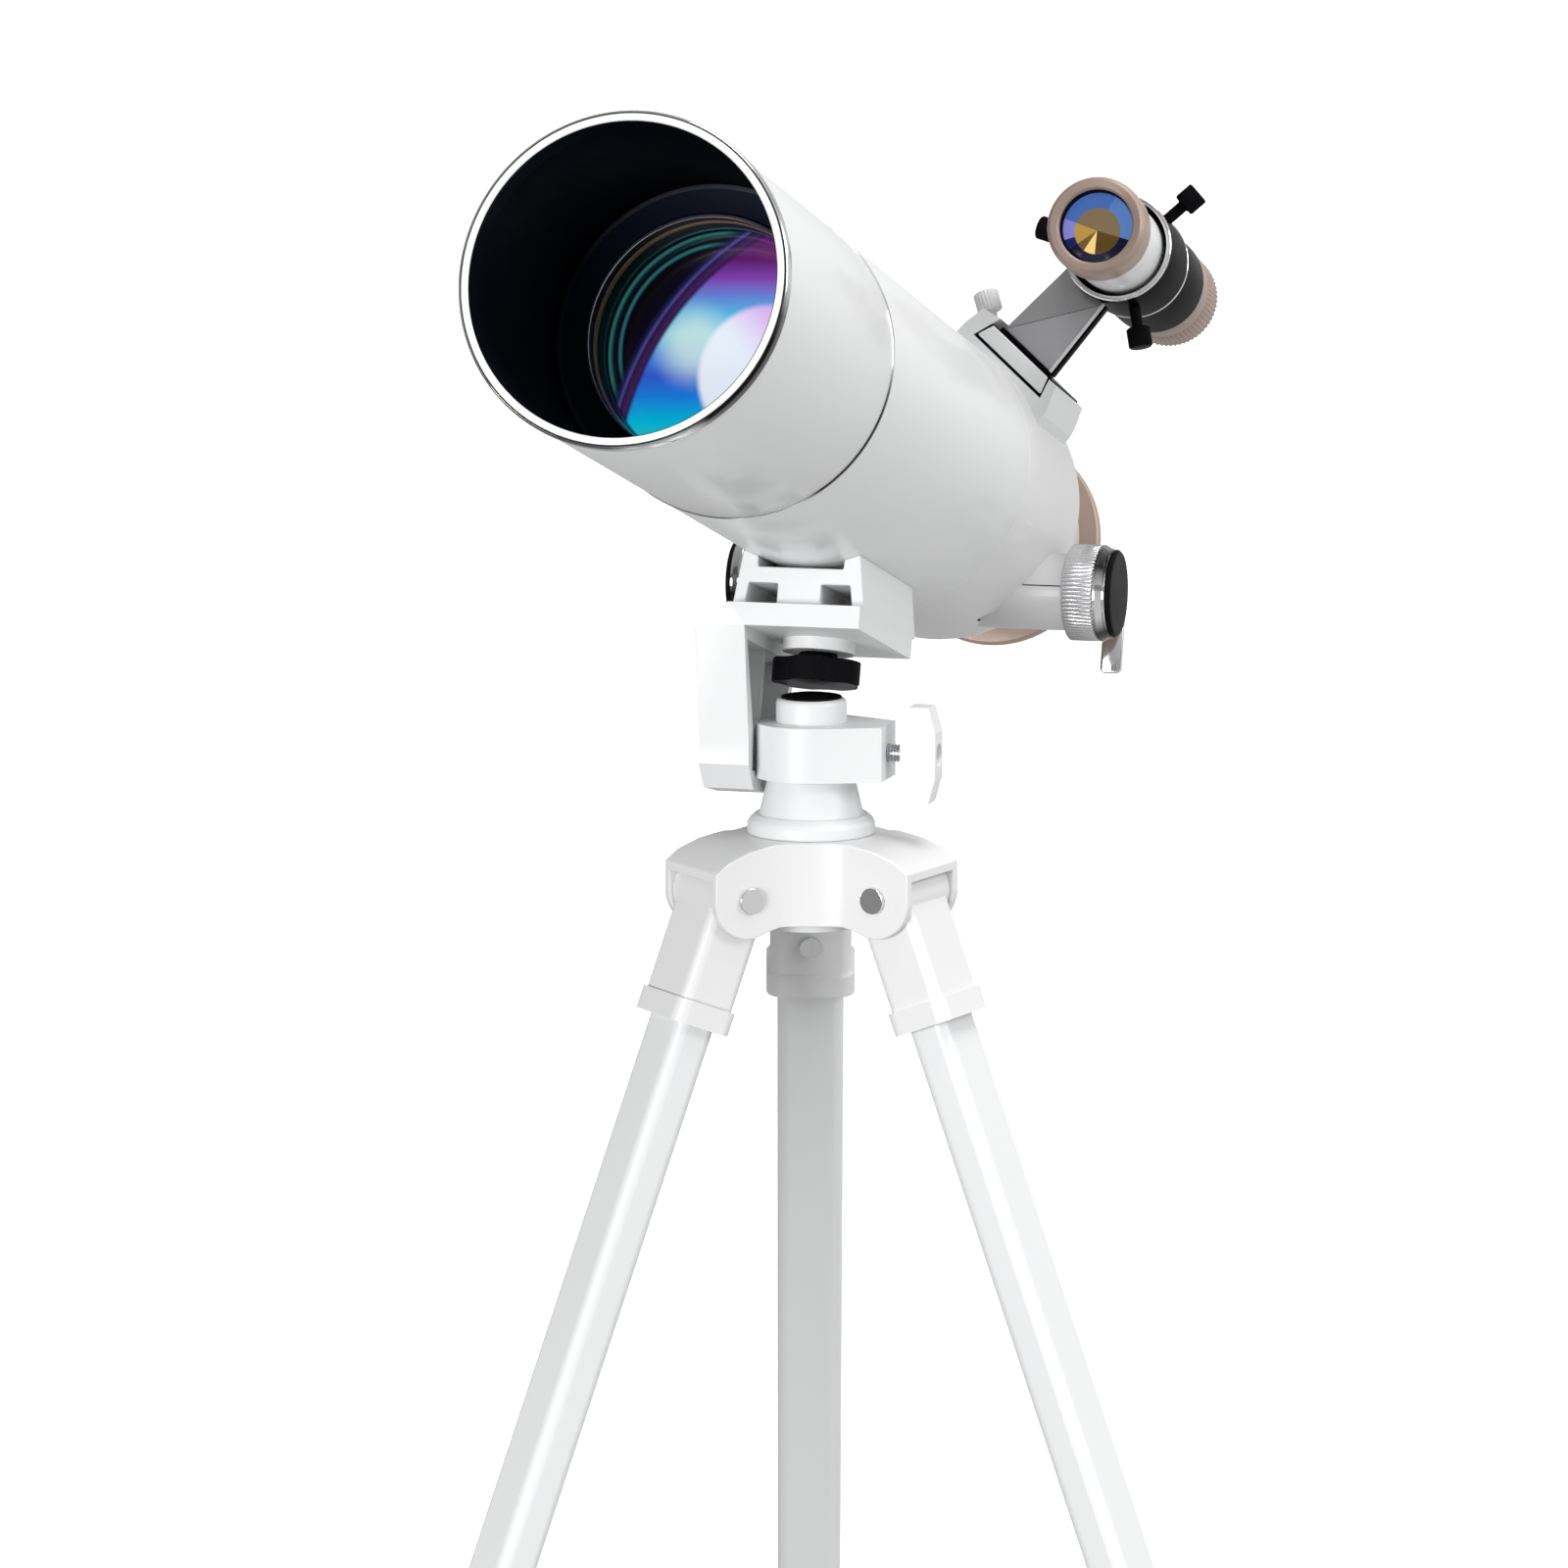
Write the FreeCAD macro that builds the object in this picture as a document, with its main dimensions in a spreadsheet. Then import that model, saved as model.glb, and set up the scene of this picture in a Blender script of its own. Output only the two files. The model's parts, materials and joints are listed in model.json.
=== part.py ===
import FreeCAD, Part
import Sketcher
import math
import os
import re
from FreeCAD import Placement, Rotation, Vector

# Lengths in mm, angles in degrees. Frame: floor at Z = 0, pan axis on Z, camera-side of the tripod at -Y.
SIZES = [
    ("tilt_height", 505.0, "tilt axis above the floor"),
    ("tube_yaw", -16.0, "pan angle of the head at rest"),
    ("tube_pitch", -15.7, "tilt angle of the tube at rest, front up"),
    ("axis_height", 107.5, "optical axis above the tilt axis"),
    ("front_offset", 243.5, "front face ahead of the tilt axis"),
    ("bore_radius", 47.1, "clear bore of the front ring"),
    ("front_ring_radius", 50.5, "outside of the front ring"),
    ("tube_radius", 50.0, "outside of shield, tube and housing"),
    ("tube_bore", 48.0, "inside of shield and tube"),
    ("shield_end", 125.0, "rear end of the dew shield"),
    ("joint_end", 127.0, "rear face of the joint ring"),
    ("joint_radius", 50.6, "outside of the joint ring"),
    ("cell_front", 104.0, "front face of the lens cell"),
    ("cell_step", 44.0, "outside of the lens cell in the joint ring"),
    ("aperture_radius", 40.0, "clear aperture of the objective"),
    ("lens_radius", 41.0, "edge radius of the objective elements"),
    ("tube_end", 312.0, "rear end of the main tube"),
    ("housing_full", 376.0, "where the housing starts to taper"),
    ("housing_end", 471.0, "rear face of the housing"),
    ("housing_tail", 32.0, "housing radius at its rear end"),
    ("trim_radius", 39.0, "flange behind the housing"),
    ("trim_end", 476.0, "rear face of the trim ring"),
    ("focus_station", 377.0, "focus shaft behind the front face"),
    ("focus_drop", 32.6, "focus shaft below the optical axis"),
    ("focus_boss", 13.5, "radius of the shaft housings"),
    ("focus_boss_end", 52.0, "outer face of the shaft housings"),
    ("knob_radius", 16.9, "focus knob"),
    ("knob_start", 52.4, "inner face of a focus knob"),
    ("knob_shoulder", 65.5, "outer face of the knob ring"),
    ("knob_end", 69.5, "outer face of the knob cap"),
    ("shaft_radius", 3.0, "focus shaft"),
    ("running", 0.05, "radial clearance of a running fit"),
    ("gear_module", 1.0, "rack and pinion module"),
    ("gear_teeth", 14.0, "pinion teeth"),
    ("gear_width", 8.0, "rack and pinion face width"),
    ("gear_backlash", 0.22, "tooth thinning for backlash"),
    ("rack_start", 322.0, "front end of the rack"),
    ("rack_end", 422.0, "rear end of the rack"),
    ("draw_radius", 19.0, "outside of the drawtube"),
    ("draw_bore", 17.0, "inside of the drawtube"),
    ("draw_start", 318.0, "front end of the drawtube"),
    ("holder_start", 518.0, "front face of the eyepiece holder"),
    ("holder_end", 542.0, "rear face of the eyepiece holder"),
    ("holder_radius", 21.0, "outside of the eyepiece holder"),
    ("barrel_radius", 15.85, "eyepiece barrel"),
    ("eyepiece_radius", 18.0, "eyepiece body"),
    ("eyepiece_end", 590.0, "rear end of the eyepiece"),
    ("finder_angle", 40.8, "finder mount, round from the top of the tube"),
    ("finder_axis", 107.5, "finder axis from the optical axis"),
    ("finder_ring_centre", 348.0, "finder bracket ring behind the front face"),
    ("finder_ring_radius", 19.0, "outside of the bracket ring"),
    ("finder_ring_bore", 17.2, "inside of the bracket ring"),
    ("finder_tube_radius", 15.5, "finder tube"),
    ("finder_tube_bore", 14.3, "inside of the finder tube"),
    ("finder_front", 298.0, "front face of the finder"),
    ("finder_rear", 426.0, "rear face of the finder"),
    ("finder_trim_radius", 17.1, "finder front ring"),
    ("shoe_top", 58.5, "top of the finder shoe from the optical axis"),
    ("shoe_front", 335.0, "front face of the finder shoe"),
    ("shoe_rear", 377.0, "rear face of the finder shoe"),
    ("thread_radius", 2.0, "small thumbscrew shaft"),
    ("head_radius", 4.15, "small thumbscrew head"),
    ("block_front", -26.8, "front face of the saddle block"),
    ("block_rear", 42.0, "rear face of the saddle block"),
    ("platform_top", 43.5, "top of the platform"),
    ("platform_under", 36.0, "underside of the platform"),
    ("platform_front", -33.0, "front edge of the platform"),
    ("platform_rear", 36.0, "rear edge of the platform"),
    ("platform_right", 22.0, "right edge of the platform"),
    ("arm_inner", -16.5, "inner face of the side arm"),
    ("arm_outer", -33.6, "outer face of the side arm"),
    ("clamp_radius", 14.9, "clamp knob"),
    ("collar_radius", 18.7, "pan collar"),
    ("collar_half", 9.5, "half height of the pan collar"),
    ("collar_boss_end", 26.3, "right end of the collar"),
    ("post_radius", 11.7, "head post"),
    ("flange_radius", 21.1, "column flange"),
    ("stub_radius", 12.0, "column inside the crown"),
    ("crown_top", -27.5, "top of the crown below the tilt axis"),
    ("crown_bottom", -55.0, "underside of the crown hub"),
    ("crown_corner", 26.2, "hub corners from the axis"),
    ("pivot_reach", 33.0, "leg pivot from the axis"),
    ("pivot_drop", -45.0, "leg pivot below the tilt axis"),
    ("ear_outer", 17.3, "outer face of a crown ear"),
    ("ear_inner", 14.05, "inner face of a crown ear"),
    ("lobe_radius", 12.8, "crown ear round the pivot"),
    ("pin_radius", 2.5, "leg pivot pin"),
    ("splay", 21.1, "leg angle from vertical"),
    ("leg_length", 493.058, "pivot to floor along a leg"),
    ("barrel_round", 11.5, "leg socket round its pivot"),
    ("socket_half", 13.75, "half width of a leg socket"),
    ("socket_depth", 10.0, "half depth of a leg socket"),
    ("socket_length", 44.5, "leg socket below its pivot"),
    ("tube_half", 11.25, "half width of a leg tube"),
    ("tube_thin", 7.25, "half depth of a leg tube"),
    ("tube_corner", 4.0, "corner radius of a leg tube"),
    ("leg_wall", 1.2, "wall of the leg tubes"),
    ("leg_tube_top", 17.0, "top of the outer tube below the pivot"),
    ("leg_tube_end", 400.0, "bottom of the outer tube below the pivot"),
    ("slide_gap", 0.3, "gap between the leg tubes"),
    ("slider_top", 100.0, "top of the inner tube below the pivot"),
    ("slider_end", 474.0, "bottom of the inner tube below the pivot"),
    ("clamp_top", 384.0, "top of a leg clamp below the pivot"),
    ("clamp_end", 426.0, "bottom of a leg clamp below the pivot"),
    ("lever_drop", 393.0, "lever axis below the pivot"),
    ("lever_reach", 15.5, "lever axis outwards of the leg axis"),
]

doc = FreeCAD.newDocument("telescope_on_tripod")
sheet = doc.addObject("Spreadsheet::Sheet", "sizes")
for row, (alias, number, note) in enumerate(SIZES, start=1):
    sheet.set("A%d" % row, alias)
    sheet.set("B%d" % row, str(number))
    sheet.set("C%d" % row, note)
    sheet.setAlias("B%d" % row, alias)
doc.recompute()
ALIASES = set(entry[0] for entry in SIZES)
ALONG_X = Rotation(Vector(0, 1, 0), 90)
ALONG_Y = Rotation(Vector(1, 0, 0), -90)
ALONG_Z = Rotation()
NODES = []


def bound(text):
    """An expression with every alias written out in full."""
    return re.sub(r"[a-z_]+", lambda word: "sizes." + word.group(0) if word.group(0) in ALIASES else word.group(0), text)


def size(text):
    return float(sheet.evalExpression(bound(text)))


def move(x, y, z, rotation=ALONG_Z):
    return Placement(Vector(x, y, z), rotation)


def place_by(item, base, rotation):
    """Put an object at a position given as three expressions."""
    item.Placement = Placement(Vector(size(base[0]), size(base[1]), size(base[2])), rotation)
    for letter, text in zip("xyz", base):
        item.setExpression("Placement.Base." + letter, bound(text))
    return item


def rod(name, radius, length, base, rotation=ALONG_Z):
    item = doc.addObject("Part::Cylinder", name)
    item.setExpression("Radius", bound(radius))
    item.setExpression("Height", bound(length))
    return place_by(item, base, rotation)


def block(name, low, high):
    item = doc.addObject("Part::Box", name)
    for side, first, last in zip(("Length", "Width", "Height"), low, high):
        item.setExpression(side, bound("(%s) - (%s)" % (last, first)))
    return place_by(item, low, ALONG_Z)


def joined(name, pieces):
    item = doc.addObject("Part::MultiFuse", name)
    item.Shapes = pieces
    item.Refine = True
    return item


def trimmed(name, base, tools):
    item = doc.addObject("Part::Cut", name)
    item.Base = base
    item.Tool = tools[0] if len(tools) == 1 else joined(name + "_tools", tools)
    item.Refine = True
    return item


def shared(name, pieces):
    item = doc.addObject("Part::MultiCommon", name)
    item.Shapes = pieces
    item.Refine = True
    return item


def outline(body, role, points):
    """A closed sketch through points given as pairs of expressions."""
    sketch = body.newObject("Sketcher::SketchObject", body.Name + "_sketch")
    plane = [part for part in body.Origin.OriginFeatures if part.Role == role][0]
    sketch.AttachmentSupport = [(plane, "")]
    sketch.MapMode = "FlatFace"
    numbers = [(size(across), size(up)) for across, up in points]
    for index, start in enumerate(numbers):
        end = numbers[(index + 1) % len(numbers)]
        sketch.addGeometry(Part.LineSegment(Vector(start[0], start[1], 0), Vector(end[0], end[1], 0)), False)
    for index in range(len(points)):
        sketch.addConstraint(Sketcher.Constraint("Coincident", index, 2, (index + 1) % len(points), 1))
    for index, pair in enumerate(points):
        for kind, text, number, line in zip(("DistanceX", "DistanceY"), pair, numbers[index], (-2, -1)):
            if abs(number) < 1e-9:
                sketch.addConstraint(Sketcher.Constraint("PointOnObject", index, 1, line))
            else:
                place = sketch.addConstraint(Sketcher.Constraint(kind, -1, 1, index, 1, number))
                sketch.setExpression("Constraints[%d]" % place, bound(text))
    return sketch


def turned(name, points):
    """A solid of revolution round Z from (radius, height) pairs."""
    body = doc.addObject("PartDesign::Body", name)
    sketch = outline(body, "XZ_Plane", points)
    feature = body.newObject("PartDesign::Revolution", name + "_turn")
    feature.Profile = sketch
    feature.ReferenceAxis = (sketch, ["V_Axis"])
    feature.Angle = 360.0
    body.Tip = feature
    return body


def padded(name, role, points, length, start=None):
    """A prism from an outline: half of the length each side of the plane, or from an offset on."""
    body = doc.addObject("PartDesign::Body", name)
    sketch = outline(body, role, points)
    feature = body.newObject("PartDesign::Pad", name + "_pad")
    feature.Profile = sketch
    feature.setExpression("Length", bound(length))
    if start is None:
        feature.SideType = "Symmetric"
    else:
        sketch.setExpression("AttachmentOffset.Base.z", bound(start))
    body.Tip = feature
    return body


def rounded_bar(name, half_wide, half_deep, corner, low, high):
    """A rounded rectangular bar along Z."""
    body = doc.addObject("PartDesign::Body", name)
    points = [("-(%s)" % half_wide, "-(%s)" % half_deep), (half_wide, "-(%s)" % half_deep),
              (half_wide, half_deep), ("-(%s)" % half_wide, half_deep)]
    sketch = outline(body, "XY_Plane", points)
    sketch.setExpression("AttachmentOffset.Base.z", bound(low))
    feature = body.newObject("PartDesign::Pad", name + "_pad")
    feature.Profile = sketch
    feature.setExpression("Length", bound("(%s) - (%s)" % (high, low)))
    doc.recompute()
    upright = []
    for number, edge in enumerate(feature.Shape.Edges, start=1):
        ends = [vertex.Point for vertex in edge.Vertexes]
        if abs(ends[0].x - ends[1].x) < 1e-6 and abs(ends[0].y - ends[1].y) < 1e-6:
            upright.append("Edge%d" % number)
    rounding = body.newObject("PartDesign::Fillet", name + "_fillet")
    rounding.Base = (feature, upright)
    rounding.setExpression("Radius", bound(corner))
    body.Tip = rounding
    return body


def keep(label, item, frame):
    """Make an object one of the part's pieces, in its place."""
    item.Label = label
    item.Placement = frame.multiply(item.Placement)
    NODES.append(item)


HEAD = move(0, 0, size("tilt_height"))
PAN = HEAD.multiply(Placement(Vector(), Rotation(Vector(0, 0, 1), size("tube_yaw"))))
TILT = PAN.multiply(Placement(Vector(), Rotation(Vector(1, 0, 0), size("tube_pitch"))))
TUBE = TILT.multiply(move(0, -size("front_offset"), size("axis_height")))
OPTIC = TUBE.multiply(Placement(Vector(), ALONG_Y))
FINDER = TUBE.multiply(Placement(Vector(), Rotation(Vector(0, 1, 0), size("finder_angle"))))
FINDER_AXIS = FINDER.multiply(Placement(Vector(0, 0, size("finder_axis")), ALONG_Y))

# Tripod crown: a six-sided hub with three forked arms.
hub_points = []
for arm in range(3):
    for side in (-40.4, 40.4):
        turn = "(%g)" % (90 + 120 * arm + side)
        hub_points.append(("crown_corner * cos(%s)" % turn, "crown_corner * sin(%s)" % turn))
hub = padded("crown_hub", "XY_Plane", hub_points, "crown_top - crown_bottom", "crown_bottom")
arm_points = [("0", "crown_top"), ("pivot_reach - 9", "crown_top"), ("pivot_reach", "crown_top - 1.6"),
              ("pivot_reach + 8", "crown_top - 4.6"), ("pivot_reach + 12.6", "crown_top - 8"),
              ("pivot_reach + 12.8", "pivot_drop"), ("pivot_reach", "pivot_drop - 12.8"),
              ("pivot_reach - 11", "crown_bottom"), ("0", "crown_bottom")]
slot_points = [("pivot_reach - 12", "crown_bottom - 9"), ("pivot_reach + 20", "crown_bottom - 9"),
               ("pivot_reach + 20", "pivot_drop + 3"), ("pivot_reach + 8.4", "pivot_drop + 8.4"),
               ("pivot_reach", "pivot_drop"), ("pivot_reach - 12", "pivot_drop")]
crown_adds = [hub]
crown_cuts = [rod("crown_bore", "stub_radius", "60", ("0", "0", "crown_bottom - 10"))]
for arm in range(3):
    spin = Placement(Vector(), Rotation(Vector(0, 0, 1), 120 * arm))
    shoulder = padded("crown_arm_%d" % arm, "YZ_Plane", arm_points, "2 * ear_outer")
    lobe = rod("crown_lobe_%d" % arm, "lobe_radius", "2 * ear_outer",
               ("-ear_outer", "pivot_reach", "pivot_drop"), ALONG_X)
    slot = padded("crown_slot_%d" % arm, "YZ_Plane", slot_points, "2 * ear_inner")
    hollow = rod("crown_hollow_%d" % arm, "barrel_round + 0.5", "2 * ear_inner",
                 ("-ear_inner", "pivot_reach", "pivot_drop"), ALONG_X)
    hole = rod("crown_hole_%d" % arm, "pin_radius", "60", ("-30", "pivot_reach", "pivot_drop"), ALONG_X)
    added = joined("crown_fork_%d" % arm, [shoulder, lobe])
    removed = joined("crown_gap_%d" % arm, [slot, hollow, hole])
    added.Placement = spin
    removed.Placement = spin
    crown_adds.append(added)
    crown_cuts.append(removed)
keep("tripod_crown", trimmed("tripod_crown", joined("crown_solid", crown_adds), crown_cuts), HEAD)

# The column is three turned pieces: a flanged stub in the crown, a conical neck and the post of the pan bearing.
flange_points = [("0", "crown_bottom - 4"), ("stub_radius + 2", "crown_bottom - 4"), ("stub_radius + 2", "crown_bottom"),
                 ("stub_radius", "crown_bottom"), ("stub_radius", "crown_top"), ("flange_radius", "crown_top"),
                 ("flange_radius", "-23.5"), ("flange_radius - 2.5", "-21"), ("0", "-21")]
neck_points = [("0", "-21"), ("17.2", "-21"), ("14.5", "0.4 - collar_half"), ("0", "0.4 - collar_half")]
post_points = [("0", "0.4 - collar_half"), ("post_radius", "0.4 - collar_half"), ("post_radius", "16.3"),
               ("post_radius - 0.9", "17.5"), ("0", "17.5")]
column = doc.addObject("Part::Compound", "centre_column")
column.Links = [turned("column_flange", flange_points), turned("column_neck", neck_points), turned("column_post", post_points)]
keep("centre_column", column, HEAD)
cap_points = [("0", "17.5"), ("post_radius - 1.4", "17.5"), ("post_radius - 1.6", "18"), ("post_radius - 5", "18.5"), ("0", "18.6")]
keep("column_cap", turned("column_cap", cap_points), HEAD)

pins = []
for arm in range(3):
    shank = rod("pin_shank_%d" % arm, "pin_radius", "2 * ear_outer", ("-ear_outer", "pivot_reach", "pivot_drop"), ALONG_X)
    left = rod("pin_left_%d" % arm, "pin_radius + 1.85", "1.5", ("-ear_outer - 1.5", "pivot_reach", "pivot_drop"), ALONG_X)
    right = rod("pin_right_%d" % arm, "pin_radius + 1.85", "1.5", ("ear_outer", "pivot_reach", "pivot_drop"), ALONG_X)
    pin = joined("pin_%d" % arm, [shank, left, right])
    pin.Placement = Placement(Vector(), Rotation(Vector(0, 0, 1), 120 * arm))
    pins.append(pin)
pin_set = doc.addObject("Part::Compound", "leg_pivot_pins")
pin_set.Links = pins
keep("leg_pivot_pins", pin_set, HEAD)

# Three legs, each in a frame at its pivot with Z up along the leg and Y outwards.
for arm, side in enumerate(("back", "left", "right")):
    spin = Placement(Vector(), Rotation(Vector(0, 0, 1), 120 * arm))
    lean = Placement(Vector(), Rotation(Vector(1, 0, 0), size("splay")))
    leg = HEAD.multiply(spin).multiply(move(0, size("pivot_reach"), size("pivot_drop"))).multiply(lean)

    barrel = rod("socket_barrel_" + side, "barrel_round", "2 * socket_half", ("-socket_half", "0", "0"), ALONG_X)
    trunk = rounded_bar("socket_trunk_" + side, "socket_half", "socket_depth", "3.5", "-socket_length", "0")
    rim = rounded_bar("socket_rim_" + side, "socket_half + 1.25", "socket_depth + 1.25", "4.5", "-socket_length", "-socket_length + 7.8")
    cavity = rounded_bar("socket_cavity_" + side, "tube_half", "tube_thin", "tube_corner", "-60", "-leg_tube_top")
    eye = rod("socket_eye_" + side, "pin_radius + running", "40", ("-20", "0", "0"), ALONG_X)
    dimple = rod("socket_dimple_" + side, "1.75", "15", ("0", "-20", "-25"), ALONG_Y)
    socket = trimmed("leg_socket_" + side, joined("socket_solid_" + side, [barrel, trunk, rim]), [cavity, eye, dimple])
    keep("leg_socket_" + side, socket, leg)

    outer = rounded_bar("tube_outer_" + side, "tube_half", "tube_thin", "tube_corner", "-leg_tube_end", "-leg_tube_top")
    inner = rounded_bar("tube_inner_" + side, "tube_half - leg_wall", "tube_thin - leg_wall", "tube_corner - leg_wall",
                        "-leg_tube_end - 5", "-leg_tube_top + 5")
    tap = rod("tube_tap_" + side, "1.75", "15", ("0", "-20", "-25"), ALONG_Y)
    keep("leg_tube_" + side, trimmed("leg_tube_" + side, outer, [inner, tap]), leg)

    shank = rod("screw_shank_" + side, "1.75", "4.75", ("0", "-socket_depth", "-25"), ALONG_Y)
    head = rod("screw_head_" + side, "3.75", "1.6", ("0", "-socket_depth - 1.6", "-25"), ALONG_Y)
    cross = block("screw_slot_" + side, ("-0.5", "-socket_depth - 2", "-30"), ("0.5", "-socket_depth - 0.9", "-20"))
    keep("leg_screw_" + side, trimmed("leg_screw_" + side, joined("screw_solid_" + side, [shank, head]), [cross]), leg)

    shell = rounded_bar("clamp_shell_" + side, "tube_half + 3.25", "tube_thin + 3.5", "5", "-clamp_end", "-clamp_top")
    seat = rounded_bar("clamp_seat_" + side, "tube_half", "tube_thin", "tube_corner", "-leg_tube_end", "-clamp_top + 5")
    throat = rounded_bar("clamp_throat_" + side, "tube_half - leg_wall", "tube_thin - leg_wall", "tube_corner - leg_wall",
                         "-clamp_end - 5", "-leg_tube_end + 5")
    lug_left = block("clamp_lug_left_" + side, ("-10.8", "tube_thin", "-lever_drop - 4"), ("-7.8", "lever_reach + 3", "-lever_drop + 4"))
    lug_right = block("clamp_lug_right_" + side, ("7.8", "tube_thin", "-lever_drop - 4"), ("10.8", "lever_reach + 3", "-lever_drop + 4"))
    lug_hole = rod("clamp_hole_" + side, "1.5 + running", "30", ("-15", "lever_reach", "-lever_drop"), ALONG_X)
    clamp = trimmed("leg_clamp_" + side, joined("clamp_solid_" + side, [shell, lug_left, lug_right]), [seat, throat, lug_hole])
    keep("leg_clamp_" + side, clamp, leg)

    slide = rounded_bar("slider_outer_" + side, "tube_half - leg_wall - slide_gap", "tube_thin - leg_wall - slide_gap",
                        "tube_corner - leg_wall", "-slider_end", "-slider_top")
    core = rounded_bar("slider_inner_" + side, "tube_half - 2 * leg_wall - slide_gap", "tube_thin - 2 * leg_wall - slide_gap",
                       "1.6", "-slider_end - 5", "-slider_top + 5")
    keep("leg_slider_" + side, trimmed("leg_slider_" + side, slide, [core]), leg)

    boot = rounded_bar("foot_boot_" + side, "tube_half + 0.5", "tube_thin + 1.5", "5.5", "-leg_length - 12", "-slider_end + 22")
    pocket = rounded_bar("foot_pocket_" + side, "tube_half - leg_wall - slide_gap", "tube_thin - leg_wall - slide_gap",
                         "tube_corner - leg_wall", "-slider_end", "-slider_top")
    ground = block("foot_ground_" + side, ("-50", "-50", "-60"), ("50", "50", "0"))
    floor_cut = joined("foot_floor_" + side, [ground, rod("foot_extra_" + side, "10", "5", ("0", "0", "-60"))])
    floor_cut.Placement = Placement(Vector(0, 0, -size("leg_length")), Rotation(Vector(1, 0, 0), -size("splay")))
    keep("leg_foot_" + side, trimmed("leg_foot_" + side, boot, [pocket, floor_cut]), leg)

    cam = rod("lever_cam_" + side, "3.6", "15", ("-7.5", "lever_reach", "-lever_drop"), ALONG_X)
    axle = rod("lever_axle_" + side, "1.5", "21.6", ("-10.8", "lever_reach", "-lever_drop"), ALONG_X)
    tab_points = [("lever_reach - 3", "-lever_drop"), ("lever_reach - 3.6", "-clamp_end + 4"), ("lever_reach - 2", "-clamp_end - 2"),
                  ("lever_reach + 1", "-clamp_end"), ("lever_reach + 3", "-lever_drop - 3"), ("lever_reach + 3", "-lever_drop")]
    tab = padded("lever_tab_" + side, "YZ_Plane", tab_points, "15")
    keep("leg_lever_" + side, joined("leg_lever_" + side, [cam, axle, tab]), leg)

# Head: pan collar, its lock knob, and the tilting bracket.
ring = rod("collar_ring", "collar_radius", "2 * collar_half - 0.9", ("0", "0", "0.9 - collar_half"))
boss_points = [("0", "-collar_radius"), ("0.39 * collar_radius", "-0.92 * collar_radius"), ("collar_boss_end", "-9"),
               ("collar_boss_end", "9"), ("0.39 * collar_radius", "0.92 * collar_radius"), ("0", "collar_radius")]
right_boss = padded("collar_right", "XY_Plane", boss_points, "2 * collar_half - 0.9", "0.9 - collar_half")
left_flat = block("collar_left", ("-30", "-30", "-collar_half - 1"), ("arm_inner + 0.4", "30", "collar_half + 1"))
post_bore = rod("collar_bore", "post_radius + running", "40", ("0", "0", "-20"))
lock_hole = rod("collar_lock_hole", "3 + running", "30", ("8", "0", "0"), ALONG_X)
tilt_hole = rod("collar_tilt_hole", "4", "10", ("-22", "0", "0"), ALONG_X)
keep("pan_collar", trimmed("pan_collar", joined("collar_solid", [ring, right_boss]),
                           [left_flat, post_bore, lock_hole, tilt_hole]), PAN)

bolt_shank = rod("bolt_shank", "4", "18.3", ("-30.3", "0", "0"), ALONG_X)
bolt_head = rod("bolt_head", "6.5", "3.2", ("-33.5", "0", "0"), ALONG_X)
bolt_socket = rod("bolt_socket", "2.6", "2.4", ("-33.9", "0", "0"), ALONG_X)
keep("tilt_pivot_bolt", trimmed("tilt_pivot_bolt", joined("bolt_solid", [bolt_shank, bolt_head]), [bolt_socket]), PAN)

keep("wing_screw", turned("wing_screw", [("0", "12.2"), ("2.2", "12.2"), ("3", "13.2"), ("3", "33"), ("0", "33")]),
     PAN.multiply(Placement(Vector(), ALONG_X)))
wing_points = [("31.3", "-6.5"), ("33.8", "-16"), ("41", "-16"), ("43.4", "-7.5"), ("43.4", "7.5"),
               ("41", "16"), ("33.8", "16"), ("31.3", "6.5")]
wing = padded("wing_solid", "XZ_Plane", wing_points, "9.6")
wing_dish = rod("wing_dish", "3.6", "3", ("41.5", "0", "0"), ALONG_X)
wing_seat = rod("wing_seat", "3", "2", ("31", "0", "0"), ALONG_X)
keep("wing_knob", trimmed("wing_knob", wing, [wing_dish, wing_seat]), PAN)

gantry_points = [("arm_outer", "-15"), ("arm_inner", "-15"), ("arm_inner", "platform_under"), ("platform_right", "platform_under"),
                 ("platform_right", "platform_top"), ("arm_outer + 11", "platform_top"), ("arm_outer", "platform_top - 9")]
gantry = padded("bracket_gantry", "XZ_Plane", gantry_points, "100")
cheek_points = [("platform_front", "platform_top"), ("platform_front", "platform_under"), ("-17.5", "-1"), ("-16", "-8"),
                ("-8", "-15"), ("8", "-14.2"), ("14", "-8.5"), ("17", "-1"), ("platform_rear", "platform_under"),
                ("platform_rear", "platform_top")]
cheek = padded("bracket_cheek", "YZ_Plane", cheek_points, "120")
pocket_points = [("platform_front + 5", "platform_under - 4"), ("-13", "3"), ("-11", "-9"), ("11", "-9"), ("13", "3"),
                 ("platform_rear - 5", "platform_under - 4")]
arm_pocket = padded("bracket_pocket", "YZ_Plane", pocket_points, "13", "arm_inner - 12")
pivot_boss = rod("bracket_pivot_boss", "9.5", "14", ("arm_outer + 2", "0", "0"), ALONG_X)
arm_rib = block("bracket_rib", ("arm_outer + 2", "-1.5", "2"), ("arm_inner - 2", "1.5", "platform_under"))
knob_boss = rod("bracket_knob_boss", "12", "4.5", ("0", "0", "platform_under - 4"))
pivot_hole = rod("bracket_pivot_hole", "4 + running", "40", ("-45", "0", "0"), ALONG_X)
head_recess = rod("bracket_head_recess", "7", "5.3", ("arm_outer - 2", "0", "0"), ALONG_X)
knob_hole = rod("bracket_knob_hole", "3 + running", "20", ("0", "0", "platform_under - 5"))
casting = trimmed("bracket_hollowed", shared("bracket_solid", [gantry, cheek]), [arm_pocket])
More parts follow.
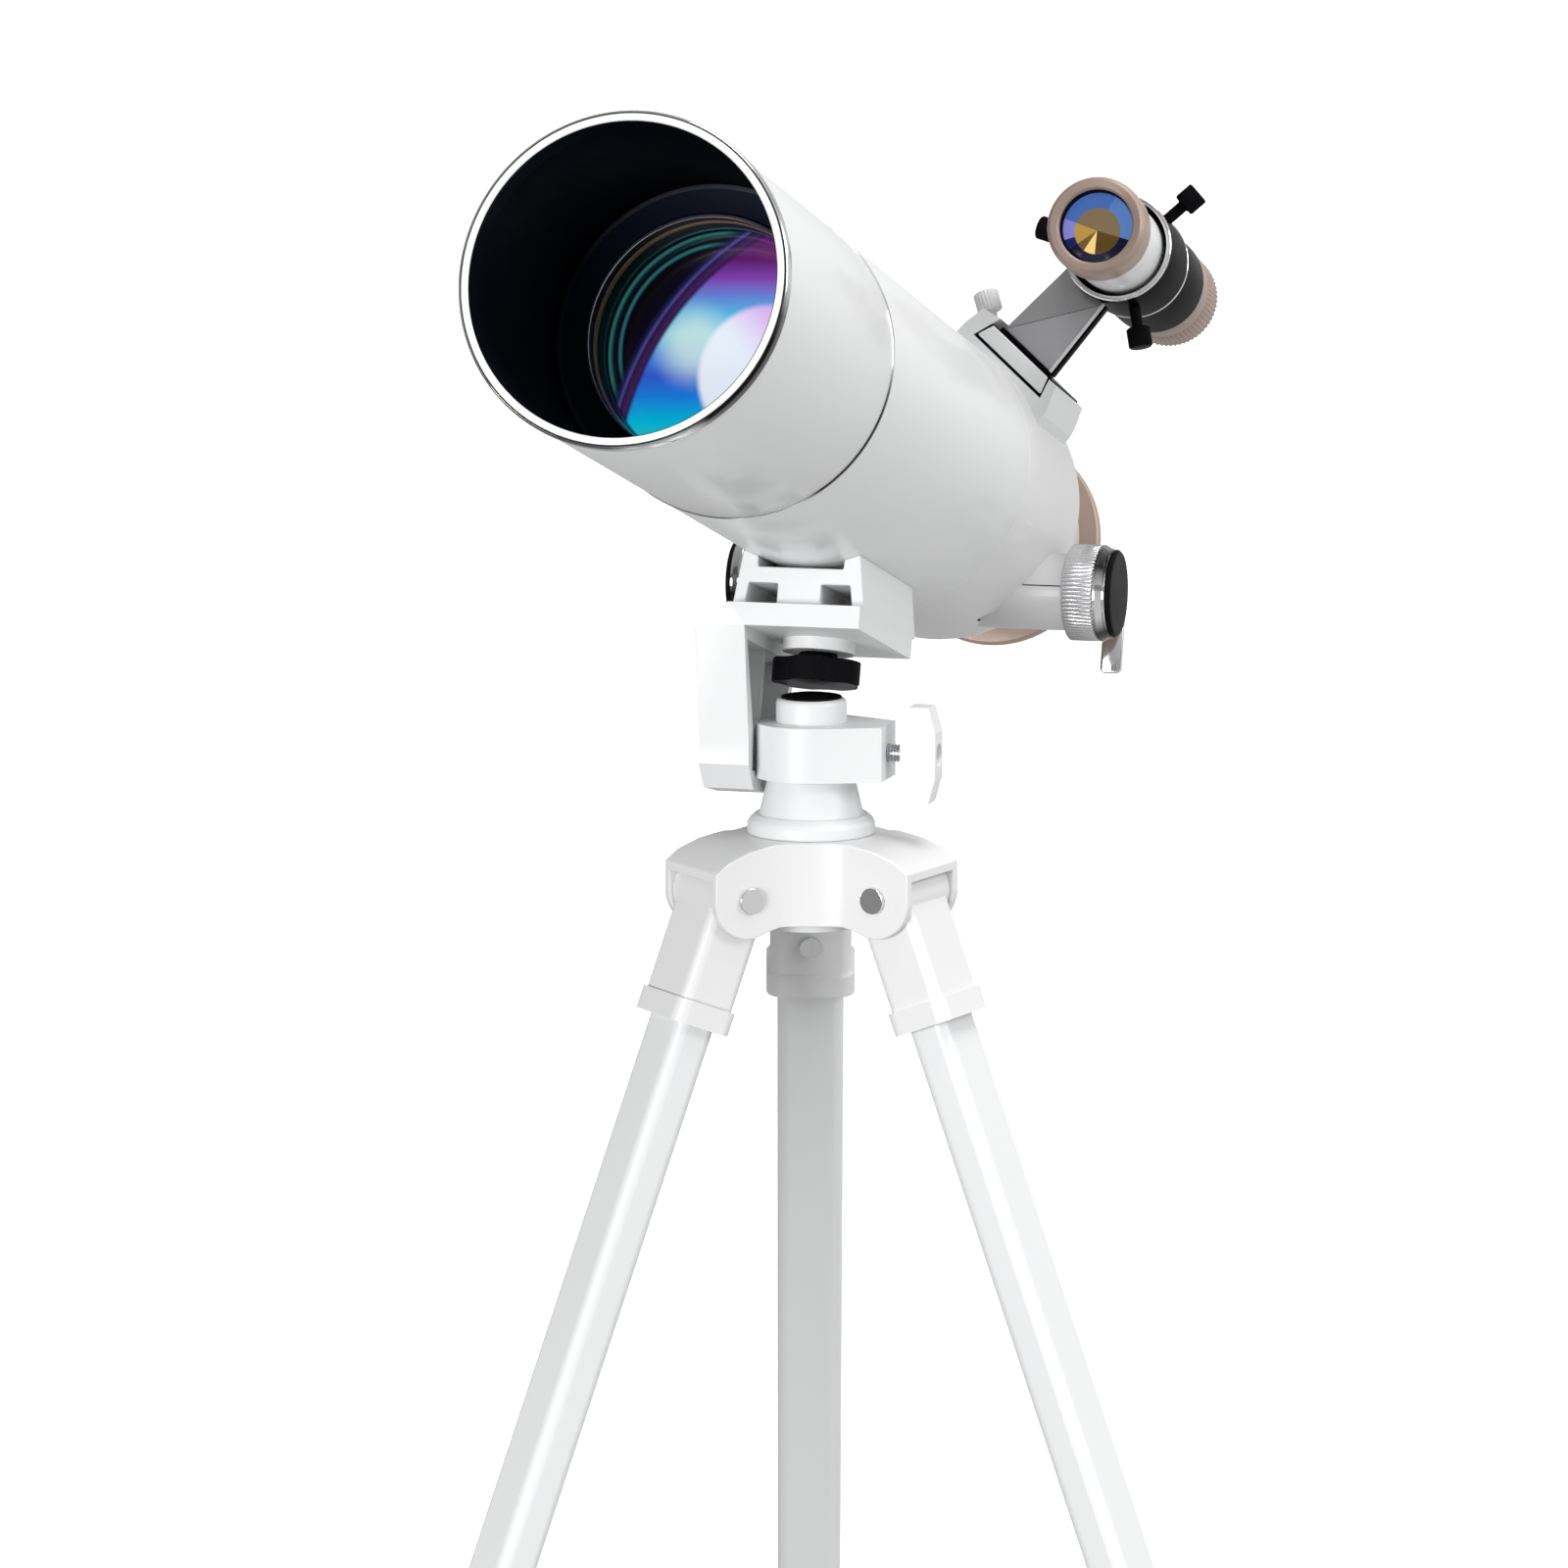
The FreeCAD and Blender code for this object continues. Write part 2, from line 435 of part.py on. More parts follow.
casting = joined("bracket_filled", [casting, pivot_boss, arm_rib, knob_boss])
keep("tilt_bracket", trimmed("tilt_bracket", casting, [pivot_hole, head_recess, knob_hole]), TILT)

knob_disc = rod("clamp_disc", "clamp_radius", "8", ("0", "0", "21.5"))
knob_cuts = []
for lobe in range(5):
    angle = "(%g)" % (18 + 72 * lobe)
    knob_cuts.append(rod("clamp_scallop_%d" % lobe, "10", "20", ("22.9 * cos(%s)" % angle, "22.9 * sin(%s)" % angle, "16")))
knob_body = trimmed("clamp_lobes", knob_disc, knob_cuts)
knob_neck = rod("clamp_neck", "6.5", "3.5", ("0", "0", "28.4"))
knob_stud = rod("clamp_stud", "3", "19", ("0", "0", "31"))
keep("clamp_knob", joined("clamp_knob", [knob_body, knob_neck, knob_stud]), TILT)

half_block = [("14.6", "61.5"), ("19.8", "61.5"), ("22.2", "platform_top"), ("18.2", "platform_top"), ("17.1", "51"),
              ("7.35", "51"), ("7.35", "platform_top + 0.8")]
block_points = [("%s - 0.7" % across, up) for across, up in half_block]
block_points = block_points + [("-(%s) - 0.7" % across, up) for across, up in reversed(half_block)]
block_points = block_points + [("-15.1", "56.3"), ("13.7", "56.3")]
saddle = padded("saddle_solid", "XZ_Plane", block_points, "block_rear - block_front", "-block_rear")
saddle_cradle = rod("saddle_cradle", "tube_radius", "300", ("0", "-150", "axis_height"), ALONG_Y)
saddle_hole = rod("saddle_hole", "3 + running", "12", ("0", "0", "39"))
keep("saddle_block", trimmed("saddle_block", saddle, [saddle_cradle, saddle_hole]), TILT)

# Optical tube, turned round its axis from the front face back.
keep("front_ring", turned("front_ring", [
    ("bore_radius", "0.6"), ("bore_radius + 0.7", "0"), ("front_ring_radius - 0.8", "0"), ("front_ring_radius", "0.8"),
    ("front_ring_radius", "4"), ("tube_bore", "4"), ("tube_bore", "10"), ("bore_radius", "10")]), OPTIC)
keep("dew_shield", turned("dew_shield", [
    ("tube_bore", "4"), ("tube_radius", "4"), ("tube_radius", "shield_end"), ("tube_bore", "shield_end")]), OPTIC)
keep("joint_ring", turned("joint_ring", [
    ("cell_step", "shield_end"), ("joint_radius", "shield_end"), ("joint_radius", "joint_end"), ("cell_step", "joint_end")]), OPTIC)
keep("main_tube", turned("main_tube", [
    ("tube_bore", "joint_end"), ("tube_radius", "joint_end"), ("tube_radius", "tube_end"), ("tube_bore", "tube_end")]), OPTIC)
keep("lens_cell", turned("lens_cell", [
    ("aperture_radius + 1", "cell_front"), ("aperture_radius + 3", "cell_front"), ("aperture_radius + 4.5", "cell_front + 1.5"),
    ("tube_bore", "cell_front + 1.5"), ("tube_bore", "shield_end"), ("cell_step", "shield_end"), ("cell_step", "joint_end + 20"),
    ("aperture_radius", "joint_end + 20"), ("aperture_radius", "joint_end + 1"), ("lens_radius", "joint_end + 1"),
    ("lens_radius", "cell_front + 2.5"), ("aperture_radius", "cell_front + 2.5"), ("aperture_radius", "cell_front + 1")]), OPTIC)

crown_blank = rod("crown_blank", "lens_radius", "11", ("0", "0", "cell_front + 2.5"))
crown_front = doc.addObject("Part::Sphere", "crown_front")
crown_front.Radius = 300
place_by(crown_front, ("0", "0", "cell_front + 2.5 + 300"), ALONG_Z)
crown_back = doc.addObject("Part::Sphere", "crown_back")
crown_back.Radius = 180
place_by(crown_back, ("0", "0", "cell_front + 13.5 - 180"), ALONG_Z)
flint_blank = rod("flint_blank", "lens_radius", "12", ("0", "0", "cell_front + 9.5"))
flint_hollow = doc.addObject("Part::Sphere", "flint_hollow")
flint_hollow.Radius = 180
place_by(flint_hollow, ("0", "0", "cell_front + 14 - 180"), ALONG_Z)
flint = trimmed("flint", flint_blank, [flint_hollow])
elements = doc.addObject("Part::Compound", "objective_lens")
elements.Links = [shared("crown_element", [crown_blank, crown_front, crown_back]), flint]
keep("objective_lens", elements, OPTIC)

shell = turned("housing_shell", [
    ("tube_bore - 2", "tube_end - 12"), ("tube_bore", "tube_end - 12"), ("tube_bore", "tube_end"), ("tube_radius", "tube_end"),
    ("tube_radius", "housing_full"), ("tube_radius - 0.6", "housing_full + 12"), ("tube_radius - 2.3", "housing_full + 24"),
    ("tube_radius - 5", "housing_full + 35"), ("tube_radius - 8.6", "housing_full + 49"), ("housing_tail + 5.4", "housing_full + 67"),
    ("housing_tail + 2", "housing_end - 12"), ("housing_tail + 0.4", "housing_end - 5"), ("housing_tail", "housing_end"),
    ("draw_radius + 4", "housing_end"), ("draw_radius + 0.4", "housing_end"), ("draw_radius + 0.4", "housing_end - 46"),
    ("draw_radius + 3.4", "housing_end - 46"), ("draw_radius + 3.4", "housing_end - 5"), ("housing_tail - 3", "housing_end - 5"),
    ("housing_tail + 1.9", "housing_full + 67"), ("tube_radius - 12.1", "housing_full + 49"), ("tube_radius - 8.5", "housing_full + 35"),
    ("tube_radius - 5.8", "housing_full + 24"), ("tube_radius - 4.1", "housing_full + 12"), ("tube_radius - 3.5", "housing_full"),
    ("tube_radius - 3.5", "tube_end + 8")])
shell.Placement = Placement(Vector(), ALONG_Y)
boss_left = rod("housing_boss_left", "focus_boss", "focus_boss_end - 15", ("-focus_boss_end", "focus_station", "-focus_drop"), ALONG_X)
boss_right = rod("housing_boss_right", "focus_boss", "focus_boss_end - 15", ("15", "focus_station", "-focus_drop"), ALONG_X)
shaft_bore = rod("housing_shaft_bore", "shaft_radius + running", "140", ("-70", "focus_station", "-focus_drop"), ALONG_X)
rack_way = block("housing_rack_way", ("-5", "housing_end - 60", "-focus_drop + 5.4"), ("5", "housing_end - 5", "-17"))
housing_cuts = [shaft_bore, rack_way]
screws = []
for number, (along, round_angle) in enumerate(((57, 29), (57, -29))):
    lean = "(%g)" % (180 + round_angle)
    base = ("(tube_radius - 3) * sin(%s)" % lean, "tube_end + %g" % along, "(tube_radius - 3) * cos(%s)" % lean)
    outward = Rotation(Vector(0, 1, 0), 180 + round_angle)
    housing_cuts.append(rod("housing_recess_%d" % number, "3.2", "8", base, outward))
    screws.append(rod("housing_screw_%d" % number, "2.9", "2", base, outward))
keep("rear_housing", trimmed("rear_housing", joined("housing_solid", [shell, boss_left, boss_right]), housing_cuts), TUBE)
screw_set = doc.addObject("Part::Compound", "housing_screws")
screw_set.Links = screws
keep("housing_screws", screw_set, TUBE)
keep("rear_trim_ring", turned("rear_trim_ring", [
    ("draw_radius + running", "housing_end"), ("trim_radius - 0.8", "housing_end"), ("trim_radius", "housing_end + 0.8"),
    ("trim_radius", "trim_end - 0.8"), ("trim_radius - 0.8", "trim_end"), ("draw_radius + running", "trim_end")]), OPTIC)

# Focuser: drawtube with its rack, and the pinion shaft with its knobs.
keep("drawtube", trimmed("drawtube", turned("drawtube_solid", [
    ("draw_bore", "draw_start"), ("draw_radius", "draw_start"), ("draw_radius", "holder_start"), ("holder_radius", "holder_start"),
    ("holder_radius", "holder_end"), ("barrel_radius + running", "holder_end"), ("barrel_radius + running", "holder_start - 14"),
    ("draw_bore", "holder_start - 14")]),
    [rod("drawtube_tap", "2 + running", "10", ("(holder_radius - 8) * sin(60)", "(holder_radius - 8) * cos(60)", "holder_start + 10"),
         Rotation(Vector(0, 0, 1), 30).multiply(ALONG_X))]), OPTIC)

pitch = math.pi * size("gear_module")
pinion_radius = size("gear_module") * size("gear_teeth") / 2.0
addendum = 0.8 * size("gear_module")
dedendum = 1.2 * size("gear_module")
slope = math.tan(math.radians(20))
rack_line = -size("focus_drop") + pinion_radius
half_tooth = pitch / 4.0 - size("gear_backlash") / 4.0
rack_points = [(size("rack_end"), -size("draw_bore")), (size("rack_start"), -size("draw_bore"))]
first = int(math.ceil((size("rack_start") + 1.5 - size("focus_station")) / pitch))
last = int(math.floor((size("rack_end") - 1.5 - size("focus_station")) / pitch))
rack_points.append((size("rack_start"), rack_line + dedendum))
for tooth in range(first, last + 1):
    middle = size("focus_station") + tooth * pitch
    for across, rise in ((-1, dedendum), (-1, -addendum), (1, -addendum), (1, dedendum)):
        rack_points.append((middle + across * (half_tooth + rise * slope), rack_line + rise))
rack_points.append((size("rack_end"), rack_line + dedendum))
corners = [Vector(-size("gear_width") / 2.0, along, up) for along, up in rack_points]
face = Part.Face(Part.makePolygon(corners + corners[:1]))
rack_bar = doc.addObject("Part::Feature", "rack_bar")
rack_bar.Shape = face.extrude(Vector(size("gear_width"), 0, 0))
rack_relief = rod("rack_relief", "draw_radius", "300", ("0", "250", "0"), ALONG_Y)
keep("focus_rack", trimmed("focus_rack", rack_bar, [rack_relief]), TUBE)

base_radius = pinion_radius * math.cos(math.radians(20))
half_angle = (math.pi / 2.0 - size("gear_backlash") / 2.0) / (2.0 * pinion_radius)
involute = math.tan(math.radians(20)) - math.radians(20)
flank = [(pinion_radius - dedendum, half_angle + involute)]
for step in range(6):
    radius = base_radius + (pinion_radius + addendum - base_radius) * step / 5.0
    pressure = math.acos(min(1.0, base_radius / radius))
    flank.append((radius, half_angle + involute - (math.tan(pressure) - pressure)))
corners = []
for tooth in range(int(size("gear_teeth"))):
    middle = math.pi / 2.0 + 2.0 * math.pi * (tooth + 0.5) / size("gear_teeth")
    for radius, spread in [(r, -a) for r, a in flank] + [(r, a) for r, a in reversed(flank)]:
        corners.append(Vector(-size("gear_width") / 2.0, radius * math.cos(middle + spread), radius * math.sin(middle + spread)))
face = Part.Face(Part.makePolygon(corners + corners[:1]))
pinion = doc.addObject("Part::Feature", "pinion")
pinion.Shape = face.extrude(Vector(size("gear_width"), 0, 0))
pinion.Placement = move(0, size("focus_station"), -size("focus_drop"))
spindle = rod("spindle", "shaft_radius", "2 * knob_shoulder", ("-knob_shoulder", "focus_station", "-focus_drop"), ALONG_X)
keep("focus_shaft", joined("focus_shaft", [spindle, pinion]), TUBE)

caps = []
for side, sign in (("left", -90), ("right", 90)):
    seat = Placement(Vector(0, size("focus_station"), -size("focus_drop")), Rotation(Vector(0, 1, 0), sign))
    knob = turned("knob_" + side, [
        ("shaft_radius", "knob_start"), ("knob_radius - 1", "knob_start"), ("knob_radius", "knob_start + 1"),
        ("knob_radius", "knob_shoulder - 2.2"), ("knob_radius - 1", "knob_shoulder"),
        ("shaft_radius", "knob_shoulder")])
    keep("focus_knob_" + side, knob, TUBE.multiply(seat))
    cap = turned("knob_cap_" + side, [
        ("0", "knob_shoulder"), ("knob_radius - 1.4", "knob_shoulder"), ("knob_radius - 1.4", "knob_end - 1"),
        ("knob_radius - 2.4", "knob_end"), ("0", "knob_end")])
    cap.Placement = seat
    caps.append(cap)
cap_set = doc.addObject("Part::Compound", "knob_caps")
cap_set.Links = caps
keep("knob_caps", cap_set, TUBE)

keep("eyepiece", turned("eyepiece", [
    ("12", "holder_start - 10"), ("barrel_radius", "holder_start - 10"), ("barrel_radius", "holder_end + 0.4"),
    ("eyepiece_radius", "holder_end + 0.4"), ("eyepiece_radius", "eyepiece_end - 14"), ("eyepiece_radius - 2.5", "eyepiece_end - 6"),
    ("eyepiece_radius - 2.5", "eyepiece_end - 1"), ("eyepiece_radius - 3.5", "eyepiece_end"), ("9", "eyepiece_end"),
    ("9", "eyepiece_end - 4"), ("10", "eyepiece_end - 4"), ("10", "eyepiece_end - 12"), ("12", "eyepiece_end - 12")]), OPTIC)
keep("eyepiece_lens", turned("eyepiece_lens", [
    ("0", "eyepiece_end - 11.5"), ("4", "eyepiece_end - 11.3"), ("10", "eyepiece_end - 10"), ("10", "eyepiece_end - 4"),
    ("0", "eyepiece_end - 4")]), OPTIC)
lever_frame = OPTIC.multiply(Placement(Vector(0, 0, size("holder_start") + 10), Rotation(Vector(0, 0, 1), 30).multiply(ALONG_X)))
lever_shank = rod("eyelever_shank", "2", "holder_radius - barrel_radius", ("0", "0", "barrel_radius + 0.3"))
lever_collar = rod("eyelever_collar", "3.2", "5", ("0", "0", "holder_radius + 0.3"))
lever_tab = padded("eyelever_tab", "YZ_Plane", [
    ("-2.2", "holder_radius + 4.5"), ("2.2", "holder_radius + 4.5"), ("2.2", "35.9"), ("19.2", "45.7"), ("19.6", "47.2"),
    ("16.9", "51.8"), ("15.2", "52.7"), ("-3.4", "41.9")], "2.4")
keep("eyepiece_clamp_lever", joined("eyepiece_clamp_lever", [lever_shank, lever_collar, lever_tab]), lever_frame)

# Finder: shoe on the housing, sliding bracket, and the small telescope in it.
shoe_solid = padded("shoe_solid", "XZ_Plane", [
    ("-21.8", "40"), ("-21.8", "53"), ("-20.4", "60.6"), ("-12", "62.4"), ("-12", "52"), ("12", "52"), ("12", "shoe_top"),
    ("17.8", "shoe_top"), ("20.8", "52"), ("21.9", "48.3"), ("22.2", "43"), ("20", "40")], "shoe_rear - shoe_front", "-shoe_rear")
shoe_seat = rod("shoe_seat", "tube_radius", "300", ("0", "250", "0"), ALONG_Y)
shoe_slot = padded("shoe_slot", "XZ_Plane", [
    ("-12.9", "shoe_top + 5"), ("-16.65", "shoe_top - 6.8"), ("16.65", "shoe_top - 6.8"), ("12.9", "shoe_top + 5")], "200", "-450")
shoe_tap = rod("shoe_tap", "thread_radius + running", "12", ("-14.9", "shoe_front + 12", "57.4"), Rotation(Vector(0, 1, 0), -60))
keep("finder_shoe", trimmed("finder_shoe", shoe_solid, [shoe_seat, shoe_slot, shoe_tap]), FINDER)
screw_frame = FINDER.multiply(move(-14.9, size("shoe_front") + 12, 57.4, Rotation(Vector(0, 1, 0), -60)))
shoe_shank = rod("shoescrew_shank", "thread_radius", "6.6", ("0", "0", "1.4"))
shoe_head = rod("shoescrew_head", "head_radius + 0.3", "7.2", ("0", "0", "7.6"))
keep("shoe_screw", joined("shoe_screw", [shoe_shank, shoe_head]), screw_frame)

foot = padded("bracket_foot", "XZ_Plane", [
    ("-14.15", "shoe_top + 0.5"), ("-16.35", "shoe_top - 6.4"), ("16.35", "shoe_top - 6.4"), ("14.15", "shoe_top + 0.5")],
    "44", "-shoe_front - 44.5")
stem = padded("bracket_stem", "XZ_Plane", [
    ("-11", "shoe_top - 1"), ("12.5", "shoe_top - 1"), ("9.5", "finder_axis - 17.6"), ("-9.5", "finder_axis - 17.6")],
    "4.5", "-finder_ring_centre + 5.5")
hoop = rod("bracket_hoop", "finder_ring_radius", "30", ("0", "finder_ring_centre - 15", "finder_axis"), ALONG_Y)
hoop_bore = rod("bracket_hoop_bore", "finder_ring_bore", "60", ("0", "finder_ring_centre - 30", "finder_axis"), ALONG_Y)
hoop_cuts = [hoop_bore]
for number, angle in enumerate((6, 126, 246)):
    outward = Rotation(Vector(0, 1, 0), angle)
    hoop_cuts.append(rod("bracket_tap_%d" % number, "thread_radius + running", "30", ("0", "finder_ring_centre", "finder_axis"), outward))
keep("finder_bracket", trimmed("finder_bracket", joined("finder_bracket_solid", [foot, stem, hoop]), hoop_cuts), FINDER)
for number, angle in enumerate((6, 126, 246), start=1):
    shank = rod("aimer_shank_%d" % number, "thread_radius", "11.5", ("0", "0", "finder_tube_radius + 0.3"))
    head = rod("aimer_head_%d" % number, "head_radius", "7", ("0", "0", "finder_ring_radius + 7"))
    seat = Placement(Vector(0, size("finder_ring_centre"), size("finder_axis")), Rotation(Vector(0, 1, 0), angle))
    keep("finder_screw_%d" % number, joined("finder_screw_%d" % number, [shank, head]), FINDER.multiply(seat))

keep("finder_tube", turned("finder_tube", [
    ("finder_tube_bore", "finder_front + 8"), ("finder_tube_radius", "finder_front + 8"), ("finder_tube_radius", "finder_rear - 6.3"),
    ("finder_tube_bore", "finder_rear - 6.3")]), FINDER_AXIS)
keep("finder_front_ring", turned("finder_front_ring", [
    ("12.7", "finder_front + 1"), ("finder_trim_radius - 1.4", "finder_front"), ("finder_trim_radius", "finder_front + 2"),
    ("finder_trim_radius", "finder_front + 11"), ("finder_tube_radius", "finder_front + 14"), ("finder_tube_radius", "finder_front + 8"),
    ("finder_tube_bore", "finder_front + 8"), ("finder_tube_bore", "finder_front + 2.4"), ("12.7", "finder_front + 2.4")]), FINDER_AXIS)
finder_glass = doc.addObject("Part::Compound", "finder_lens")
finder_glass.Links = [
    turned("finder_objective", [("0", "finder_front + 2.6"), ("8", "finder_front + 3"), ("finder_tube_bore", "finder_front + 4.2"),
                                ("finder_tube_bore", "finder_front + 7.6"), ("0", "finder_front + 7.6")]),
    turned("finder_eye_lens", [("0", "finder_rear - 12"), ("finder_tube_bore", "finder_rear - 12"),
                               ("finder_tube_bore", "finder_rear - 9.4"), ("0", "finder_rear - 8.6")])]
keep("finder_lens", finder_glass, FINDER_AXIS)
keep("finder_focus_ring", turned("finder_focus_ring", [
    ("finder_tube_radius + running", "finder_rear - 22"), ("finder_trim_radius - 0.6", "finder_rear - 22"),
    ("finder_trim_radius", "finder_rear - 21"), ("finder_trim_radius", "finder_rear - 1.5"), ("finder_trim_radius - 1.5", "finder_rear"),
    ("7", "finder_rear"), ("7", "finder_rear - 6"), ("finder_tube_radius + running", "finder_rear - 6")]), FINDER_AXIS)

doc.recompute()
problems = []
for item in doc.Objects:
    if "Invalid" in item.State or "Error" in item.State:
        problems.append(item.Name + " " + " ".join(item.State))
for item in NODES:
    if item.Shape.isNull() or not item.Shape.isValid() or not item.Shape.Solids:
        problems.append(item.Label + " has no valid solid")
if problems:
    raise RuntimeError("; ".join(problems))
os.makedirs("parts", exist_ok=True)
for item in NODES:
    item.Shape.exportStep("parts/%s.step" % item.Label)
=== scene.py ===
import bpy
import bmesh
import json
import math
from mathutils import Matrix, Vector


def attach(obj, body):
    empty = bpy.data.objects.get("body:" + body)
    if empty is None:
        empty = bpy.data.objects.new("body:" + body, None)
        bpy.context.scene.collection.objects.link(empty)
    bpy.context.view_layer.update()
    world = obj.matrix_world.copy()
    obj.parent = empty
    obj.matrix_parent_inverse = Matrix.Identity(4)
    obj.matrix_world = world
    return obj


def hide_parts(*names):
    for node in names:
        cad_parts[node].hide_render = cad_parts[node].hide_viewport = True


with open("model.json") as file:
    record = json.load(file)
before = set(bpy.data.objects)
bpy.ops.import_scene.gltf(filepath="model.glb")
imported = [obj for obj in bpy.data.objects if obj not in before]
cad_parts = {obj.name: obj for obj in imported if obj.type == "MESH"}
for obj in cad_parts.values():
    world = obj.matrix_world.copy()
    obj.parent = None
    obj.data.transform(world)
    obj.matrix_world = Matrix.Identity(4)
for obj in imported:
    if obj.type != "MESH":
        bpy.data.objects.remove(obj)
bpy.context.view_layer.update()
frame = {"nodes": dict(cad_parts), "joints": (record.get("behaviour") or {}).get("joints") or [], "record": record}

MM = 0.001
# Stations and radii of the telescope in millimetres, angles in degrees, the camera's place in metres.
TUBE_RADIUS = 50
SHELL_INSIDE = 48.6
LINING_INSIDE = 48.0
JOINT_START, JOINT_END = 125, 127
TUBE_END = 312
FOCUS_STATION, FOCUS_DROP = 377, 32.6
FINDER_BEARING, FINDER_RISE = 40.8, 107.5
CAMERA_LENS, CAMERA_SENSOR = 138.1, 36
CAMERA_FROM_TILT = (-0.0090, -1.9574, 0.2985)
CAMERA_DOWN = 9
JOINTS = {joint["name"]: joint for joint in frame["joints"]}
SIDES = ("back", "left", "right")


def frame_from(origin, x_axis, y_axis):
    """Axes and origin as a matrix that takes millimetres to the row frame in metres."""
    x = Vector(x_axis).normalized()
    y = (Vector(y_axis) - x * x.dot(Vector(y_axis))).normalized()
    z = x.cross(y)
    o = Vector(origin)
    rows = [[x[i] * MM, y[i] * MM, z[i] * MM, o[i]] for i in range(3)]
    return Matrix(rows + [[0, 0, 0, 1]])


def turn(axis, degrees):
    return Matrix.Rotation(math.radians(degrees), 4, axis)


def shift(x, y, z):
    return Matrix.Translation((x, y, z))


tilt = JOINTS["tilt"]
left_to_right = -Vector(tilt["axis"])
rearwards = Vector(JOINTS["drawtube_slide"]["axis"])
PAN = frame_from(tilt["pos_m"], left_to_right, Vector((0, 0, 1)).cross(left_to_right))
SHAFT = frame_from(JOINTS["focus_turn"]["pos_m"], left_to_right, rearwards)
TUBE = SHAFT @ shift(0, -FOCUS_STATION, FOCUS_DROP)
OPTIC = TUBE @ turn("X", -90)
FINDER = TUBE @ turn("Y", FINDER_BEARING)
FINDER_OPTIC = FINDER @ shift(0, 0, FINDER_RISE) @ turn("X", -90)
HEAD = frame_from(tilt["pos_m"], (1, 0, 0), (0, 1, 0))


# ---------------------------------------------------------------- materials
def node_material(name, color, roughness, metallic=0.0, coat=0.0, specular=0.5):
    material = bpy.data.materials.new(name)
    material.use_nodes = True
    shader = material.node_tree.nodes["Principled BSDF"]
    shader.inputs["Base Color"].default_value = (*color, 1)
    shader.inputs["Roughness"].default_value = roughness
    shader.inputs["Metallic"].default_value = metallic
    shader.inputs["Coat Weight"].default_value = coat
    shader.inputs["Coat Roughness"].default_value = 0.08
    shader.inputs["Specular IOR Level"].default_value = specular
    return material, material.node_tree, shader


def noise(tree, scale, detail=3.0, stretch=(1, 1, 1), rough=0.55):
    nodes, links = tree.nodes, tree.links
    coords = nodes.new("ShaderNodeTexCoord")
    mapping = nodes.new("ShaderNodeMapping")
    mapping.inputs["Scale"].default_value = stretch
    texture = nodes.new("ShaderNodeTexNoise")
    texture.inputs["Scale"].default_value = scale
    texture.inputs["Detail"].default_value = detail
    texture.inputs["Roughness"].default_value = rough
    links.new(coords.outputs["Object"], mapping.inputs["Vector"])
    links.new(mapping.outputs["Vector"], texture.inputs["Vector"])
    return texture.outputs["Fac"]


def ramp(tree, source, stops, interpolation="LINEAR"):
    node = tree.nodes.new("ShaderNodeValToRGB")
    node.color_ramp.interpolation = interpolation
    elements = node.color_ramp.elements
    while len(elements) < len(stops):
        elements.new(0.5)
    for element, (place, color) in zip(elements, stops):
        element.position = place
        element.color = (*color, 1)
    tree.links.new(source, node.inputs["Fac"])
    return node.outputs["Color"]


def spread(tree, source, low, high):
    """Maps a noise around its middle to a range of values."""
    node = tree.nodes.new("ShaderNodeMapRange")
    node.inputs["From Min"].default_value = 0.3
    node.inputs["From Max"].default_value = 0.7
    node.inputs["To Min"].default_value = low
    node.inputs["To Max"].default_value = high
    tree.links.new(source, node.inputs["Value"])
    return node.outputs["Result"]


def bump(tree, shader, source, strength, distance):
    node = tree.nodes.new("ShaderNodeBump")
    node.inputs["Strength"].default_value = strength
    node.inputs["Distance"].default_value = distance
    tree.links.new(source, node.inputs["Height"])
    tree.links.new(node.outputs["Normal"], shader.inputs["Normal"])


def finished(name, color, roughness, metallic=0.0, coat=0.0, grain=900, grain_depth=0.00002, tint=0.03,
             wear=0.05, stretch=(1, 1, 1), specular=0.5):
    """A surface with slow colour variation, uneven gloss and a fine grain."""
    material, tree, shader = node_material(name, color, roughness, metallic, coat, specular)
    slow = noise(tree, 14, 3)
    dark = tuple(channel * (1 - tint) for channel in color)
    light = tuple(min(1, channel * (1 + tint)) for channel in color)
    tree.links.new(ramp(tree, slow, [(0.35, dark), (0.65, light)]), shader.inputs["Base Color"])
    tree.links.new(spread(tree, noise(tree, 60, 4), max(0.01, roughness - wear), roughness + wear),
                   shader.inputs["Roughness"])
    bump(tree, shader, noise(tree, grain, 2, stretch), 0.35, grain_depth)
    return material


WHITE_TUBE = finished("white_enamel_tube", (0.76, 0.765, 0.77), 0.34, coat=0.15, grain=900,
                      grain_depth=0.0000003, tint=0.003, wear=0.006)
WHITE_CAST = finished("white_enamel_casting", (0.74, 0.745, 0.75), 0.42, coat=0.05, grain=1600,
                      grain_depth=0.000006, tint=0.006, wear=0.03)
WHITE_PLASTIC = finished("white_moulding", (0.74, 0.74, 0.745), 0.34, coat=0.1, grain=1400,
                         grain_depth=0.000002, tint=0.004, wear=0.02)
LEG_PAINT = finished("white_leg_paint", (0.74, 0.745, 0.75), 0.36, coat=0.08, grain=1400,
                     grain_depth=0.000003, tint=0.006, wear=0.02, stretch=(1, 1, 0.3))
BLACK_PLASTIC = finished("black_gloss_plastic", (0.006, 0.006, 0.007), 0.3, coat=0.0, grain=1500,
                         grain_depth=0.000003, tint=0.2, specular=0.16)
BLACK_METAL = finished("black_anodised", (0.004, 0.004, 0.005), 0.3, coat=0.0, grain=1800,
                       grain_depth=0.000003, tint=0.2, specular=0.13)
